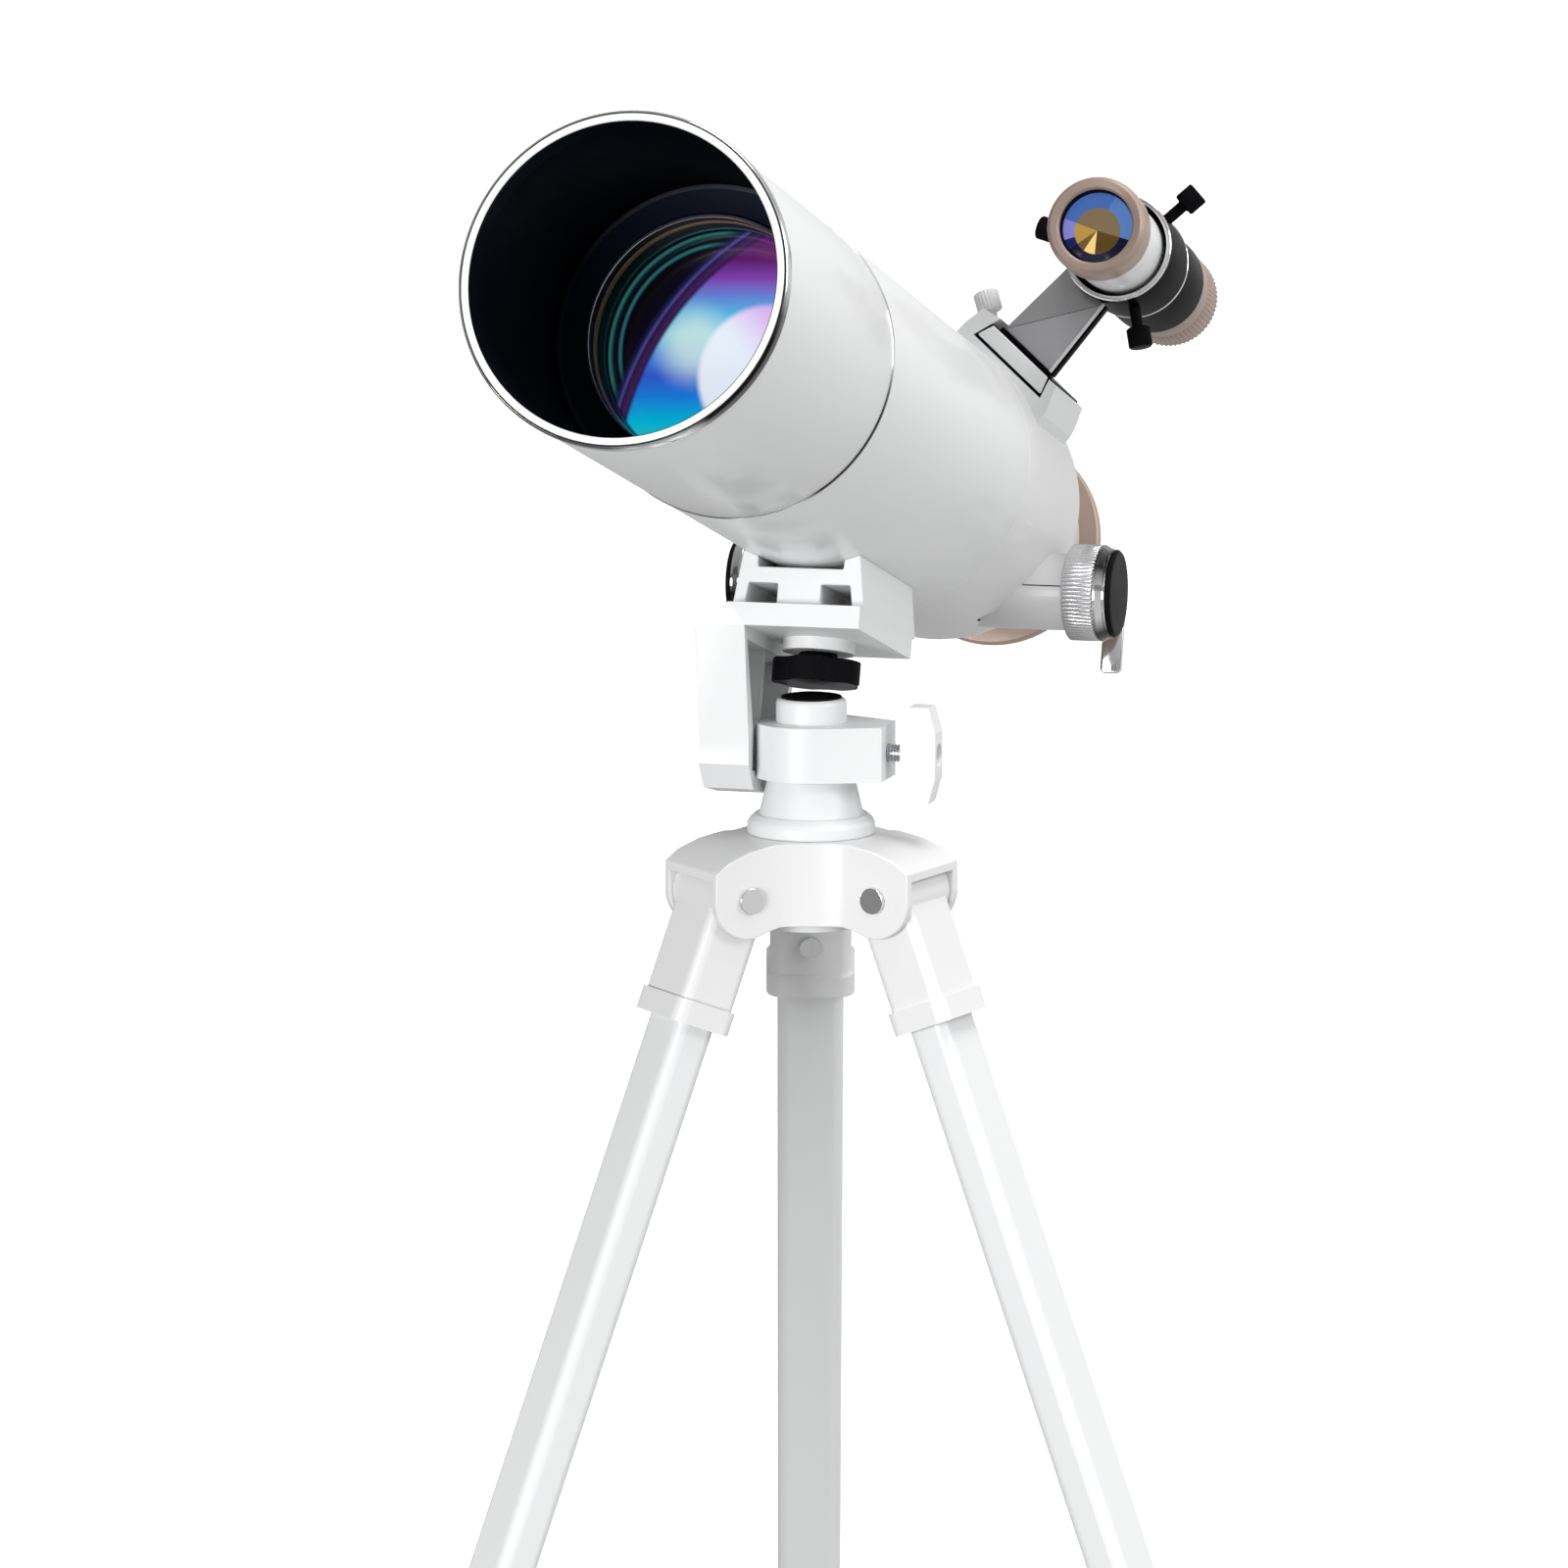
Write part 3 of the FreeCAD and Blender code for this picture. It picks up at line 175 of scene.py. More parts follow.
BLACK_LINING = finished("black_tube_lining", (0.003, 0.003, 0.005), 0.45, coat=0.0, grain=900,
                        grain_depth=0.00001, tint=0.3, specular=0.12)
CHROME = finished("bright_plating", (0.78, 0.78, 0.79), 0.08, metallic=1.0, grain=2500, grain_depth=0.000001,
                  tint=0.02, wear=0.02)
STEEL = finished("brushed_steel", (0.55, 0.55, 0.57), 0.3, metallic=1.0, grain=1800, grain_depth=0.000004,
                 tint=0.05, stretch=(1, 1, 6))
KNURLED = finished("knurled_silver", (0.72, 0.72, 0.73), 0.26, metallic=0.9, grain=2500, grain_depth=0.000004,
                   tint=0.04)
ROSE = finished("rose_gold_satin", (0.40, 0.295, 0.245), 0.4, metallic=0.25, coat=0.05, grain=2200,
                grain_depth=0.000002, tint=0.02)
GREY_METAL = finished("satin_grey_stem", (0.40, 0.40, 0.41), 0.32, metallic=0.5, grain=1800,
                      grain_depth=0.000003, tint=0.03, stretch=(1, 1, 5))
SEAM = finished("seam_shadow", (0.02, 0.02, 0.022), 0.6, grain=900, grain_depth=0.000004, tint=0.2,
                specular=0.2)
for black in (BLACK_PLASTIC, BLACK_METAL, BLACK_LINING):
    black.node_tree.nodes["Principled BSDF"].inputs["IOR"].default_value = 1.13
RUBBER = finished("foot_rubber", (0.022, 0.022, 0.023), 0.65, grain=1600, grain_depth=0.00006, tint=0.25,
                  wear=0.1)


def local_coordinates(tree):
    """X, Y and Z of a point before its piece is placed, in millimetres."""
    attribute = tree.nodes.new("ShaderNodeAttribute")
    attribute.attribute_name = "local"
    split = tree.nodes.new("ShaderNodeSeparateXYZ")
    tree.links.new(attribute.outputs["Vector"], split.inputs["Vector"])
    return split.outputs


def math_node(tree, operation, first, second=None):
    node = tree.nodes.new("ShaderNodeMath")
    node.operation = operation
    for socket, value in zip(node.inputs, (first, second)):
        if value is None:
            continue
        if isinstance(value, (int, float)):
            socket.default_value = value
        else:
            tree.links.new(value, socket)
    return node.outputs[0]


def coating_material(name, stops, direction, span):
    """Coated glass: painted bands of coloured coating reflection across the lens under a clear glossy face."""
    material, tree, shader = node_material(name, (0.1, 0.1, 0.3), 0.06, 0.55, 1.0)
    axes = local_coordinates(tree)
    along = math_node(tree, "ADD", math_node(tree, "MULTIPLY", axes[0], direction[0]),
                      math_node(tree, "MULTIPLY", axes[1], direction[1]))
    radius = gap(tree, axes, 0, 0)
    bent = math_node(tree, "ADD", math_node(tree, "DIVIDE", along, span), math_node(tree, "MULTIPLY", radius,
                                                                                    0.0015))
    color = ramp(tree, math_node(tree, "ADD", bent, 0.5), stops)
    tree.links.new(color, shader.inputs["Base Color"])
    return material


def gap(tree, axes, x, y):
    """Distance from a point in the plane of a lens, in millimetres."""
    across = math_node(tree, "SUBTRACT", axes[0], x)
    down = math_node(tree, "SUBTRACT", axes[1], y)
    return math_node(tree, "SQRT", math_node(tree, "ADD", math_node(tree, "MULTIPLY", across, across),
                                             math_node(tree, "MULTIPLY", down, down)))


def step(tree, value, low, high, first=0.0, last=1.0):
    """A soft step from first to last as the value goes from low to high."""
    node = tree.nodes.new("ShaderNodeMapRange")
    node.interpolation_type = "SMOOTHSTEP"
    for socket, number in (("From Min", low), ("From Max", high), ("To Min", first), ("To Max", last)):
        node.inputs[socket].default_value = number
    tree.links.new(value, node.inputs["Value"])
    return node.outputs["Result"]


def blend(tree, factor, first, second):
    node = tree.nodes.new("ShaderNodeMix")
    node.data_type = "RGBA"
    tree.links.new(factor, node.inputs["Factor"])
    for socket, color in (("A", first), ("B", second)):
        if isinstance(color, tuple):
            node.inputs[socket].default_value = (*color, 1)
        else:
            tree.links.new(color, node.inputs[socket])
    return node.outputs["Result"]


def with_painted_glow(tree, shader, color, base, glow):
    """Uses a colour for the surface and, scaled, as a painted glow: the colour is emitted as the light that a
    coating sends back.
    """
    darker = tree.nodes.new("ShaderNodeMix")
    darker.data_type = "RGBA"
    darker.inputs["Factor"].default_value = base
    darker.inputs["A"].default_value = (0, 0, 0, 1)
    tree.links.new(color, darker.inputs["B"])
    tree.links.new(darker.outputs["Result"], shader.inputs["Base Color"])
    tree.links.new(color, shader.inputs["Emission Color"])
    shader.inputs["Emission Strength"].default_value = glow


# The coated objective with painted light: bands of interference colour painted as coating reflection, a painted
# pale reflection of a lamp, a painted reflection of the dark tube with teal arcs, and a painted glow.
OBJECTIVE, tree, shader = node_material("objective_painted_reflections", (0.02, 0.02, 0.05), 0.12, 0.0, 0.0, 0.25)
axes = local_coordinates(tree)
height = math_node(tree, "DIVIDE", math_node(tree, "SUBTRACT", 30.0, axes[1]), 60.0)
bands = ramp(tree, height, [(0.0, (0.02, 0.50, 0.52)), (0.11, (0.0, 0.47, 0.70)), (0.24, (0.01, 0.20, 0.72)),
                            (0.35, (0.03, 0.10, 0.62)), (0.47, (0.06, 0.26, 0.74)),
                            (0.57, (0.18, 0.58, 0.80)), (0.68, (0.08, 0.45, 0.76)),
                            (0.78, (0.13, 0.20, 0.64)), (0.87, (0.20, 0.05, 0.40)),
                            (0.97, (0.10, 0.01, 0.12))])
# Painted pale glow on the lens, left of its middle.
pale = step(tree, gap(tree, axes, -9, -1), 3, 16, 0.8, 0.0)
bands = blend(tree, pale, bands, (0.62, 0.84, 0.80))
# Painted reflection of a lamp: a pale disc, lilac towards the upper right.
painted_lamp_distance = gap(tree, axes, 15, 8)
lilac = step(tree, math_node(tree, "SUBTRACT", axes[0], axes[1]), 2, 30)
painted_lamp_color = blend(tree, lilac, (0.86, 0.92, 1.0), (0.72, 0.42, 0.84))
bands = blend(tree, step(tree, painted_lamp_distance, 20.6, 23.2, 0.92, 0.0), bands, painted_lamp_color)
# Painted reflection of the dark tube inside over the left of the lens, with painted teal arcs near the rim.
border = math_node(tree, "SUBTRACT", 96.0, gap(tree, axes, 64, 43.5))
painted_tube_reflection = ramp(tree, math_node(tree, "DIVIDE", math_node(tree, "ADD", border, 12.0), 12.0),
                 [(0.0, (0.002, 0.002, 0.004)), (0.5, (0.004, 0.003, 0.010)), (0.62, (0.010, 0.012, 0.06)),
                  (0.7, (0.07, 0.06, 0.26)), (0.76, (0.02, 0.01, 0.05)), (0.9, (0.05, 0.015, 0.09)),
                  (1.0, (0.02, 0.01, 0.06))])
rim = math_node(tree, "DIVIDE", gap(tree, axes, 0, 0), 41.0)
arcs = ramp(tree, rim, [(0.0, (0, 0, 0)), (0.79, (0, 0, 0)), (0.812, (0.02, 0.15, 0.17)), (0.834, (0, 0, 0)),
                        (0.87, (0.001, 0.004, 0.008)), (0.9, (0.02, 0.16, 0.15)), (0.915, (0, 0, 0))])
lit_arcs = tree.nodes.new("ShaderNodeMix")
lit_arcs.data_type = "RGBA"
lit_arcs.blend_type = "ADD"
tree.links.new(step(tree, border, -9, -4, 1.0, 0.0), lit_arcs.inputs["Factor"])
tree.links.new(painted_tube_reflection, lit_arcs.inputs["A"])
tree.links.new(arcs, lit_arcs.inputs["B"])
whole = blend(tree, step(tree, border, -0.5, 1.2), lit_arcs.outputs["Result"], bands)
whole = blend(tree, step(tree, rim, 0.91, 0.925), whole, (0.002, 0.003, 0.006))
# The painted colours are also emitted as a painted glow.
with_painted_glow(tree, shader, whole, 0.25, 0.85)
# The eyepiece lens: painted coating reflection in bands of purple and teal.
EYE_GLASS = coating_material("eyepiece_painted_reflections", [
    (0.0, (0.02, 0.01, 0.05)), (0.5, (0.1, 0.05, 0.3)), (1.0, (0.02, 0.12, 0.1))], (0.7, 0.7), 24)


def plating_with_painted_reflections(name, stops):
    """Bright plating with painted reflections: the lights and dark cards of a studio painted as bands round its
    axis.
    """
    material = finished(name, (0.78, 0.78, 0.79), 0.1, metallic=1.0, grain=2500, grain_depth=0.000001,
                        tint=0.02, wear=0.02)
    tree = material.node_tree
    axes = local_coordinates(tree)
    bearing = math_node(tree, "DIVIDE", math_node(tree, "ARCTAN2", axes[1], axes[0]), 2 * math.pi)
    color = ramp(tree, math_node(tree, "FRACT", math_node(tree, "ADD", bearing, 1.0)),
                 [(place, (shade,) * 3) for place, shade in stops])
    tree.links.new(color, tree.nodes["Principled BSDF"].inputs["Base Color"])
    return material


# Painted reflections for the bands of the front and joint rings.
CHROME_WITH_PAINTED_RING_BANDS = plating_with_painted_reflections("ring_painted_reflections", [(0.0, 0.75), (0.03, 0.10), (0.055, 0.012), (0.15, 0.015), (0.165, 0.5),
                                      (0.18, 0.8), (0.235, 0.75), (0.25, 0.3), (0.34, 0.22), (0.42, 0.6),
                                      (0.5, 0.85), (0.58, 0.62), (0.7, 0.8), (0.85, 0.85), (0.92, 0.6),
                                      (0.97, 0.8)])
# Painted reflections for the focus knob rims.
CHROME_WITH_PAINTED_RIM_BANDS = plating_with_painted_reflections("rim_painted_reflections", [(0.0, 0.03), (0.08, 0.02), (0.13, 0.7), (0.22, 0.85), (0.27, 0.1),
                                    (0.33, 0.03), (0.4, 0.75), (0.52, 0.9), (0.58, 0.15), (0.68, 0.03),
                                    (0.75, 0.6), (0.86, 0.85), (0.93, 0.08), (1.0, 0.03)])
# Painted glints: amber and teal bands on the bore of the lens cell that stand in for reflections.
AMBER_GLINT = finished("amber_edge_glint", (0.42, 0.21, 0.05), 0.3, metallic=0.3, grain=900,
                       grain_depth=0.000002, tint=0.2)
TEAL_GLINT = finished("teal_edge_glint", (0.03, 0.22, 0.20), 0.3, metallic=0.3, grain=900,
                      grain_depth=0.000002, tint=0.2)
NAVY = finished("blued_black_cell", (0.002, 0.004, 0.012), 0.4, grain=900, grain_depth=0.000004, tint=0.3,
                specular=0.1)


# ---------------------------------------------------------------- mesh building
def add_object(name, mesh, material, body, node_slot, nodes=(), smooth=32):
    mesh.validate()
    mesh.materials.append(material)
    for polygon in mesh.polygons:
        polygon.use_smooth = True
    mesh.set_sharp_from_angle(angle=math.radians(smooth))
    piece = bpy.data.objects.new(name, mesh)
    bpy.context.scene.collection.objects.link(piece)
    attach(piece, body)
    if nodes:
        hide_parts(*nodes)
    return piece


def placed(bm, matrix):
    """Keeps the millimetre coordinates as an attribute, then moves the mesh to the row frame."""
    layer = bm.verts.layers.float_vector.new("local")
    for vert in bm.verts:
        vert[layer] = vert.co.copy()
    bmesh.ops.transform(bm, matrix=matrix, verts=bm.verts)
    bmesh.ops.recalc_face_normals(bm, faces=bm.faces)


def to_mesh(bm, name):
    mesh = bpy.data.meshes.new(name)
    bm.to_mesh(mesh)
    bm.free()
    return mesh


def soft_corners(points, radius, steps=4, closed=True):
    """A polyline with each corner rounded by an arc of up to the given radius."""
    result = []
    count = len(points)
    for index, point in enumerate(points):
        here = Vector(point)
        if not closed and index in (0, count - 1):
            result.append(tuple(here))
            continue
        before = Vector(points[index - 1]) - here
        after = Vector(points[(index + 1) % count]) - here
        if before.length < 1e-6 or after.length < 1e-6:
            result.append(tuple(here))
            continue
        angle = before.angle(after)
        if angle > math.radians(176) or angle < 1e-3:
            result.append(tuple(here))
            continue
        reach = min(radius / math.tan(angle / 2), before.length * 0.48, after.length * 0.48)
        start = here + before.normalized() * reach
        end = here + after.normalized() * reach
        for step in range(steps + 1):
            t = step / steps
            result.append(tuple((1 - t) ** 2 * start + 2 * t * (1 - t) * here + t ** 2 * end))
    return result


def lathe_mesh(profile, matrix, segments=128, closed=True, wave=None):
    """Turns (radius, height) points round Z. wave(angle, index) is added to a point's radius."""
    bm = bmesh.new()
    rings = []
    for index, (radius, height) in enumerate(profile):
        if radius < 1e-6:
            rings.append([bm.verts.new((0, 0, height))])
            continue
        ring = []
        for step in range(segments):
            angle = 2 * math.pi * step / segments
            r = radius + (wave(angle, index) if wave else 0)
            ring.append(bm.verts.new((r * math.cos(angle), r * math.sin(angle), height)))
        rings.append(ring)
    pairs = list(zip(rings, rings[1:] + rings[:1])) if closed else list(zip(rings, rings[1:]))
    for first, second in pairs:
        if len(first) == 1 and len(second) == 1:
            continue
        for step in range(segments):
            after = (step + 1) % segments
            if len(first) == 1:
                bm.faces.new((first[0], second[step], second[after]))
            elif len(second) == 1:
                bm.faces.new((first[step], first[after], second[0]))
            else:
                bm.faces.new((first[step], first[after], second[after], second[step]))
    placed(bm, matrix)
    return to_mesh(bm, "lathe")


def lathe(name, profile, matrix, material, body, node_slot, nodes=(), segments=128, soften=0.3, closed=True,
          wave=None, smooth=32):
    points = soft_corners(profile, soften, 3, closed) if soften else profile
    return add_object(name, lathe_mesh(points, matrix, segments, closed, wave), material, body, node_slot,
                      nodes, smooth)


def prism_mesh(outline, low, high, matrix, rims=0.0, steps=3):
    """Extrudes an XY outline from low to high along Z with rounded rims."""
    bm = bmesh.new()
    points = [Vector(p) for p in outline]
    area = sum(a.x * b.y - b.x * a.y for a, b in zip(points, points[1:] + points[:1]))
    if area < 0:
        points.reverse()
    count = len(points)

    def inset(amount):
        moved = []
        for index, point in enumerate(points):
            before = (point - points[index - 1])
            after = (points[(index + 1) % count] - point)
            n1 = Vector((-before.y, before.x)).normalized()
            n2 = Vector((-after.y, after.x)).normalized()
            mean = n1 + n2
            mean = n1 if mean.length < 1e-6 else mean / max(0.35, mean.length_squared / 2)
            moved.append(point + mean * amount)
        return moved

    layers = []
    if rims:
        for step in range(steps + 1):
            t = math.pi / 2 * step / steps
            layers.append((low + rims * (1 - math.sin(t)), inset(rims * (1 - math.cos(t)))))
        layers.reverse()
        for step in range(steps + 1):
            t = math.pi / 2 * step / steps
            layers.append((high - rims * (1 - math.sin(t)), inset(rims * (1 - math.cos(t)))))
    else:
        layers = [(low, points), (high, points)]
    rings = [[bm.verts.new((p.x, p.y, height)) for p in ring] for height, ring in layers]
    for first, second in zip(rings, rings[1:]):
        for index in range(count):
            after = (index + 1) % count
            bm.faces.new((first[index], first[after], second[after], second[index]))
    bm.faces.new(list(reversed(rings[0])))
    bm.faces.new(rings[-1])
    placed(bm, matrix)
    return to_mesh(bm, "prism")


def prism(name, outline, low, high, matrix, material, body, node_slot, nodes=(), corner=0.8, rims=0.5,
          smooth=32):
    points = soft_corners(outline, corner, 4) if corner else outline
    return add_object(name, prism_mesh(points, low, high, matrix, rims), material, body, node_slot, nodes,
                      smooth)


def apply_modifiers(piece):
    graph = bpy.context.evaluated_depsgraph_get()
    mesh = bpy.data.meshes.new_from_object(piece.evaluated_get(graph), preserve_all_data_layers=True,
                                           depsgraph=graph)
    piece.modifiers.clear()
    piece.data = mesh


def body_of(node):
    return next(b for b, names in frame["record"]["behaviour"]["bodies"].items() if node in names)


SLOT = {entry["node"]: entry["material_slot"] for entry in frame["record"]["subparts"]}


def part_of(node):
    """The body, slot and replaced node of a piece that stands for a CAD node."""
    return body_of(node), SLOT[node], (node,)


def softened(node, material, width=0.0006, segments=3, angle=32):
    """A finished copy of a CAD piece: flat faces merged, its edges rounded over."""
    source = frame["nodes"][node]
    bm = bmesh.new()
    bm.from_mesh(source.data)
    bmesh.ops.remove_doubles(bm, verts=bm.verts, dist=0.000004)
    bmesh.ops.dissolve_limit(bm, angle_limit=math.radians(1.0), verts=bm.verts, edges=bm.edges,
                             use_dissolve_boundaries=False)
    piece = add_object("fine_" + node, to_mesh(bm, node), material, *part_of(node), angle)
    bevel = piece.modifiers.new("edges", "BEVEL")
    bevel.width = width
    bevel.segments = segments
    bevel.limit_method = "ANGLE"
    bevel.angle_limit = math.radians(angle)
    bevel.miter_outer = "MITER_ARC"
    bevel.use_clamp_overlap = True
    bevel.harden_normals = False
    normals = piece.modifiers.new("normals", "WEIGHTED_NORMAL")
    normals.keep_sharp = True


# ---------------------------------------------------------------- telescope tube
FRONT_BORE = 47.1
lathe("front_ring_face", [(FRONT_BORE, 0.6), (FRONT_BORE + 0.5, 0.05), (49.2, 0.05), (49.4, 0.3), (49.4, 1.4),
                          (FRONT_BORE, 1.4)], OPTIC, WHITE_TUBE, *part_of("front_ring"), segments=256,
      soften=0.2)
lathe("front_ring_outline", [(47.0, 0.66), (47.1, 0.5), (47.2, 0.36), (47.2, 0.6), (47.12, 1.6), (47.0, 1.6)],
      OPTIC, BLACK_METAL, *part_of("front_ring"), segments=256, soften=0)
lathe("front_ring_groove", [(49.38, 0.5), (49.38, 0.32), (49.72, 0.32), (49.72, 0.6), (49.38, 0.6)], OPTIC,
      SEAM, *part_of("front_ring"), segments=256, soften=0)
lathe("front_ring_band", [(47.9, 1.4), (49.75, 1.4), (49.75, 0.5), (50.0, 0.25), (50.35, 0.6), (50.5, 1.2),
                          (50.5, 4.6), (50.1, 4.95), (47.9, 4.95)], OPTIC, CHROME_WITH_PAINTED_RING_BANDS,
      *part_of("front_ring"), segments=256, soften=0.15)
lathe("front_ring_sleeve", [(FRONT_BORE, 1.3), (47.9, 1.3), (47.9, 10), (FRONT_BORE, 10)],
      OPTIC, BLACK_LINING, *part_of("front_ring"), segments=256, soften=0.1)
lathe("dew_shield_shell", [(SHELL_INSIDE, 4.9), (TUBE_RADIUS, 4.9), (TUBE_RADIUS, JOINT_START),
                           (SHELL_INSIDE, JOINT_START)], OPTIC, WHITE_TUBE, *part_of("dew_shield"),
      segments=256, soften=0.2)
lathe("dew_shield_lining", [(LINING_INSIDE, 10), (SHELL_INSIDE, 10), (SHELL_INSIDE, JOINT_START),
                            (LINING_INSIDE, JOINT_START)], OPTIC, BLACK_LINING, *part_of("dew_shield"),
      segments=256, soften=0.1)
lathe("joint_ring_band", [(44, JOINT_START), (TUBE_RADIUS, JOINT_START), (50.25, 125.3), (50.25, 126.7),
                          (TUBE_RADIUS, JOINT_END), (44, JOINT_END)], OPTIC, CHROME_WITH_PAINTED_RING_BANDS,
      *part_of("joint_ring"), segments=256, soften=0.3)
lathe("main_tube_shell", [(SHELL_INSIDE, JOINT_END), (TUBE_RADIUS, JOINT_END), (TUBE_RADIUS, 311.8),
                          (49.7, TUBE_END), (SHELL_INSIDE, TUBE_END)], OPTIC, WHITE_TUBE,
      *part_of("main_tube"), segments=256, soften=0.15)
lathe("main_tube_lining", [(LINING_INSIDE, JOINT_END), (SHELL_INSIDE, JOINT_END), (SHELL_INSIDE, TUBE_END),
                           (LINING_INSIDE, TUBE_END)], OPTIC, BLACK_LINING, *part_of("main_tube"),
      segments=192, soften=0.0)

lathe("lens_retainer", [(37.5, 88.6), (38.3, 88.3), (39.0, 89.2), (46.6, 89.2), (47.95, 88.9), (47.95, 125),
                        (44, 125), (44, 147), (41.05, 147), (41.05, 109.4), (37.5, 106.2)], OPTIC, NAVY,
      *part_of("lens_cell"), segments=192, soften=0.12)
lathe("cell_edge_bright", [(37.35, 88.5), (37.6, 88.35), (37.75, 88.7), (37.5, 88.9)], OPTIC, STEEL,
      *part_of("lens_cell"), segments=192, soften=0)
# Painted glints on the bore of the lens cell.
lathe("cell_glint_amber", [(37.42, 94.0), (37.6, 93.6), (37.6, 97.6), (37.42, 97.2)], OPTIC, AMBER_GLINT,
      *part_of("lens_cell"), segments=192, soften=0)
lathe("cell_glint_teal", [(37.42, 104.4), (37.6, 104.0), (37.6, 106.0), (37.42, 105.8)], OPTIC, TEAL_GLINT,
      *part_of("lens_cell"), segments=192, soften=0)
lathe("objective_element", [(0, 106.5), (6, 106.54), (12, 106.74), (18, 107.04), (24, 107.46), (30, 108.0),
                            (36, 108.66), (40.9, 109.3), (41, 116), (20, 117.5), (0, 118)], OPTIC, OBJECTIVE,
      *part_of("objective_lens"), segments=160, soften=0, closed=False, smooth=60)

# ---------------------------------------------------------------- rear housing and focuser
def smooth_profile(points, count):
    """Points along a Catmull-Rom curve through the given ones."""
    ends = [points[0]] + list(points) + [points[-1]]
    result = []
    for p0, p1, p2, p3 in zip(ends, ends[1:], ends[2:], ends[3:]):
        for step in range(count):
            t = step / count
            pair = []
            for a, b, c, d in zip(p0, p1, p2, p3):
                pair.append(0.5 * (2 * b + (c - a) * t + (2 * a - 5 * b + 4 * c - d) * t * t
                                   + (3 * b - a - 3 * c + d) * t ** 3))
            result.append(tuple(pair))
    return result + [tuple(points[-1])]


taper = smooth_profile([(50.0, 374), (49.4, 388), (47.7, 400), (45.0, 411), (41.4, 425), (37.4, 443),
                        (34.0, 459), (32.4, 466), (32.0, 470)], 8)
housing_profile = [(46.5, 300.5), (47.9, 300.5), (47.9, TUBE_END), (49.7, TUBE_END), (50.0, 312.3), (50.0, 350)]
housing_profile += taper
housing_profile += [(31.6, 471), (20, 471), (20, 466), (29, 466), (33.9, 443), (44.2, 400), (46.5, 376)]
housing = lathe("rear_housing_shell", housing_profile, OPTIC, WHITE_PLASTIC, *part_of("rear_housing"),
                segments=224, soften=0)
for side in (-1, 1):
    bore = TUBE @ shift(0, 369, 0) @ turn("Y", 180 + 29 * side) @ shift(0, 0, 47)
    drill = lathe_mesh([(0, 0), (3.2, 0), (3.2, 6), (0, 6)], bore, 48, False)
    cutter = bpy.data.objects.new("recess_cutter", drill)
    bpy.context.scene.collection.objects.link(cutter)
    recess = housing.modifiers.new("recess", "BOOLEAN")
    recess.operation = "DIFFERENCE"
    recess.object = cutter
    apply_modifiers(housing)
    bpy.data.objects.remove(cutter)
    # A dark sleeve inside each recess: painted shadow.
    lathe("housing_recess_painted_shadow_%s" % ("left" if side < 0 else "right"),
          [(2.9, 0.02), (3.18, 0.02), (3.18, 2.7), (2.9, 2.7)], bore, SEAM, *part_of("rear_housing"),
          segments=48, soften=0)

for side, sign in (("left", -1), ("right", 1)):
    outward = SHAFT @ turn("Y", 90 * sign)
    boss_profile = [(0, 15), (13.2, 15), (13.5, 30), (13.5, 51.4), (13.1, 52.0), (3.6, 52.0), (3.2, 51.6),
                    (3.2, 45), (0, 45)]
    lathe("focuser_housing_" + side, boss_profile, outward, WHITE_PLASTIC, "telescope", SLOT["rear_housing"],
          ("rear_housing",), segments=96, soften=0.3, closed=False)
    groove = [(31, 13.55), (51.6, 13.55), (51.6, 13.0), (31, 13.0)]
    prism("focuser_seam_" + side, groove, -0.2, 0.2, SHAFT @ Matrix.Diagonal((sign, -1, 1, 1)), SEAM,
          "telescope", SLOT["rear_housing"], ("rear_housing",), corner=0, rims=0)
    knob = "focus_knob_" + side
    ridge_count = 72

    def knurl(angle, index, count=ridge_count):
        return 0.24 * math.cos(angle * count) if 3 <= index <= 4 else 0.0

    lathe(knob + "_grip", [(3, 52.4), (15.6, 52.4), (16.3, 52.7), (16.6, 53.2), (16.6, 62.9), (16.2, 63.3),
                           (3, 63.3)], outward, KNURLED, *part_of(knob), segments=ridge_count * 8, soften=0,
          wave=knurl, smooth=50)
    lathe(knob + "_rim", [(3, 63.3), (16.4, 63.3), (16.85, 63.7), (16.85, 64.4), (16.4, 65.2), (15.6, 66.6),
                          (15.6, 67.4), (15.0, 67.8), (3, 67.8)], outward, CHROME_WITH_PAINTED_RIM_BANDS, *part_of(knob),
          segments=144, soften=0.25)
    lathe("knob_cap_" + side, [(0, 67.6), (15.0, 67.6), (15.35, 68.0), (15.35, 68.6), (14.6, 69.4),
                               (13.6, 69.5), (0, 69.5)], outward, BLACK_PLASTIC, *part_of("knob_caps"),
          segments=144, soften=0.25, closed=False)

lathe("trim_ring", [(19.05, 471), (38.2, 471), (39, 471.7), (39, 475.2), (38.2, 475.9), (36.5, 476),
                    (24, 476), (23, 475.2), (19.05, 475.2)], OPTIC, ROSE, *part_of("rear_trim_ring"),
      segments=160, soften=0.3)
lathe("drawtube_barrel", [(17, 318), (19, 318), (19, 517.6), (20.4, 518), (21, 518.6), (21, 523),
                          (20.5, 523.4), (20.5, 524.4), (21, 524.8), (21, 541.4), (20.5, 542), (15.95, 542),
                          (15.95, 505), (17, 504)], OPTIC, CHROME, *part_of("drawtube"), segments=144,
      soften=0.25)
lathe("eyepiece_barrel", [(12, 508), (15.5, 508), (15.85, 508.5), (15.85, 542.3), (12, 542.3)], OPTIC, CHROME,
      *part_of("eyepiece"), segments=96, soften=0.2)


def grip(angle, index, count=40):
    return 0.3 * min(0.0, math.cos(angle * count)) if 7 <= index <= 8 else 0.0


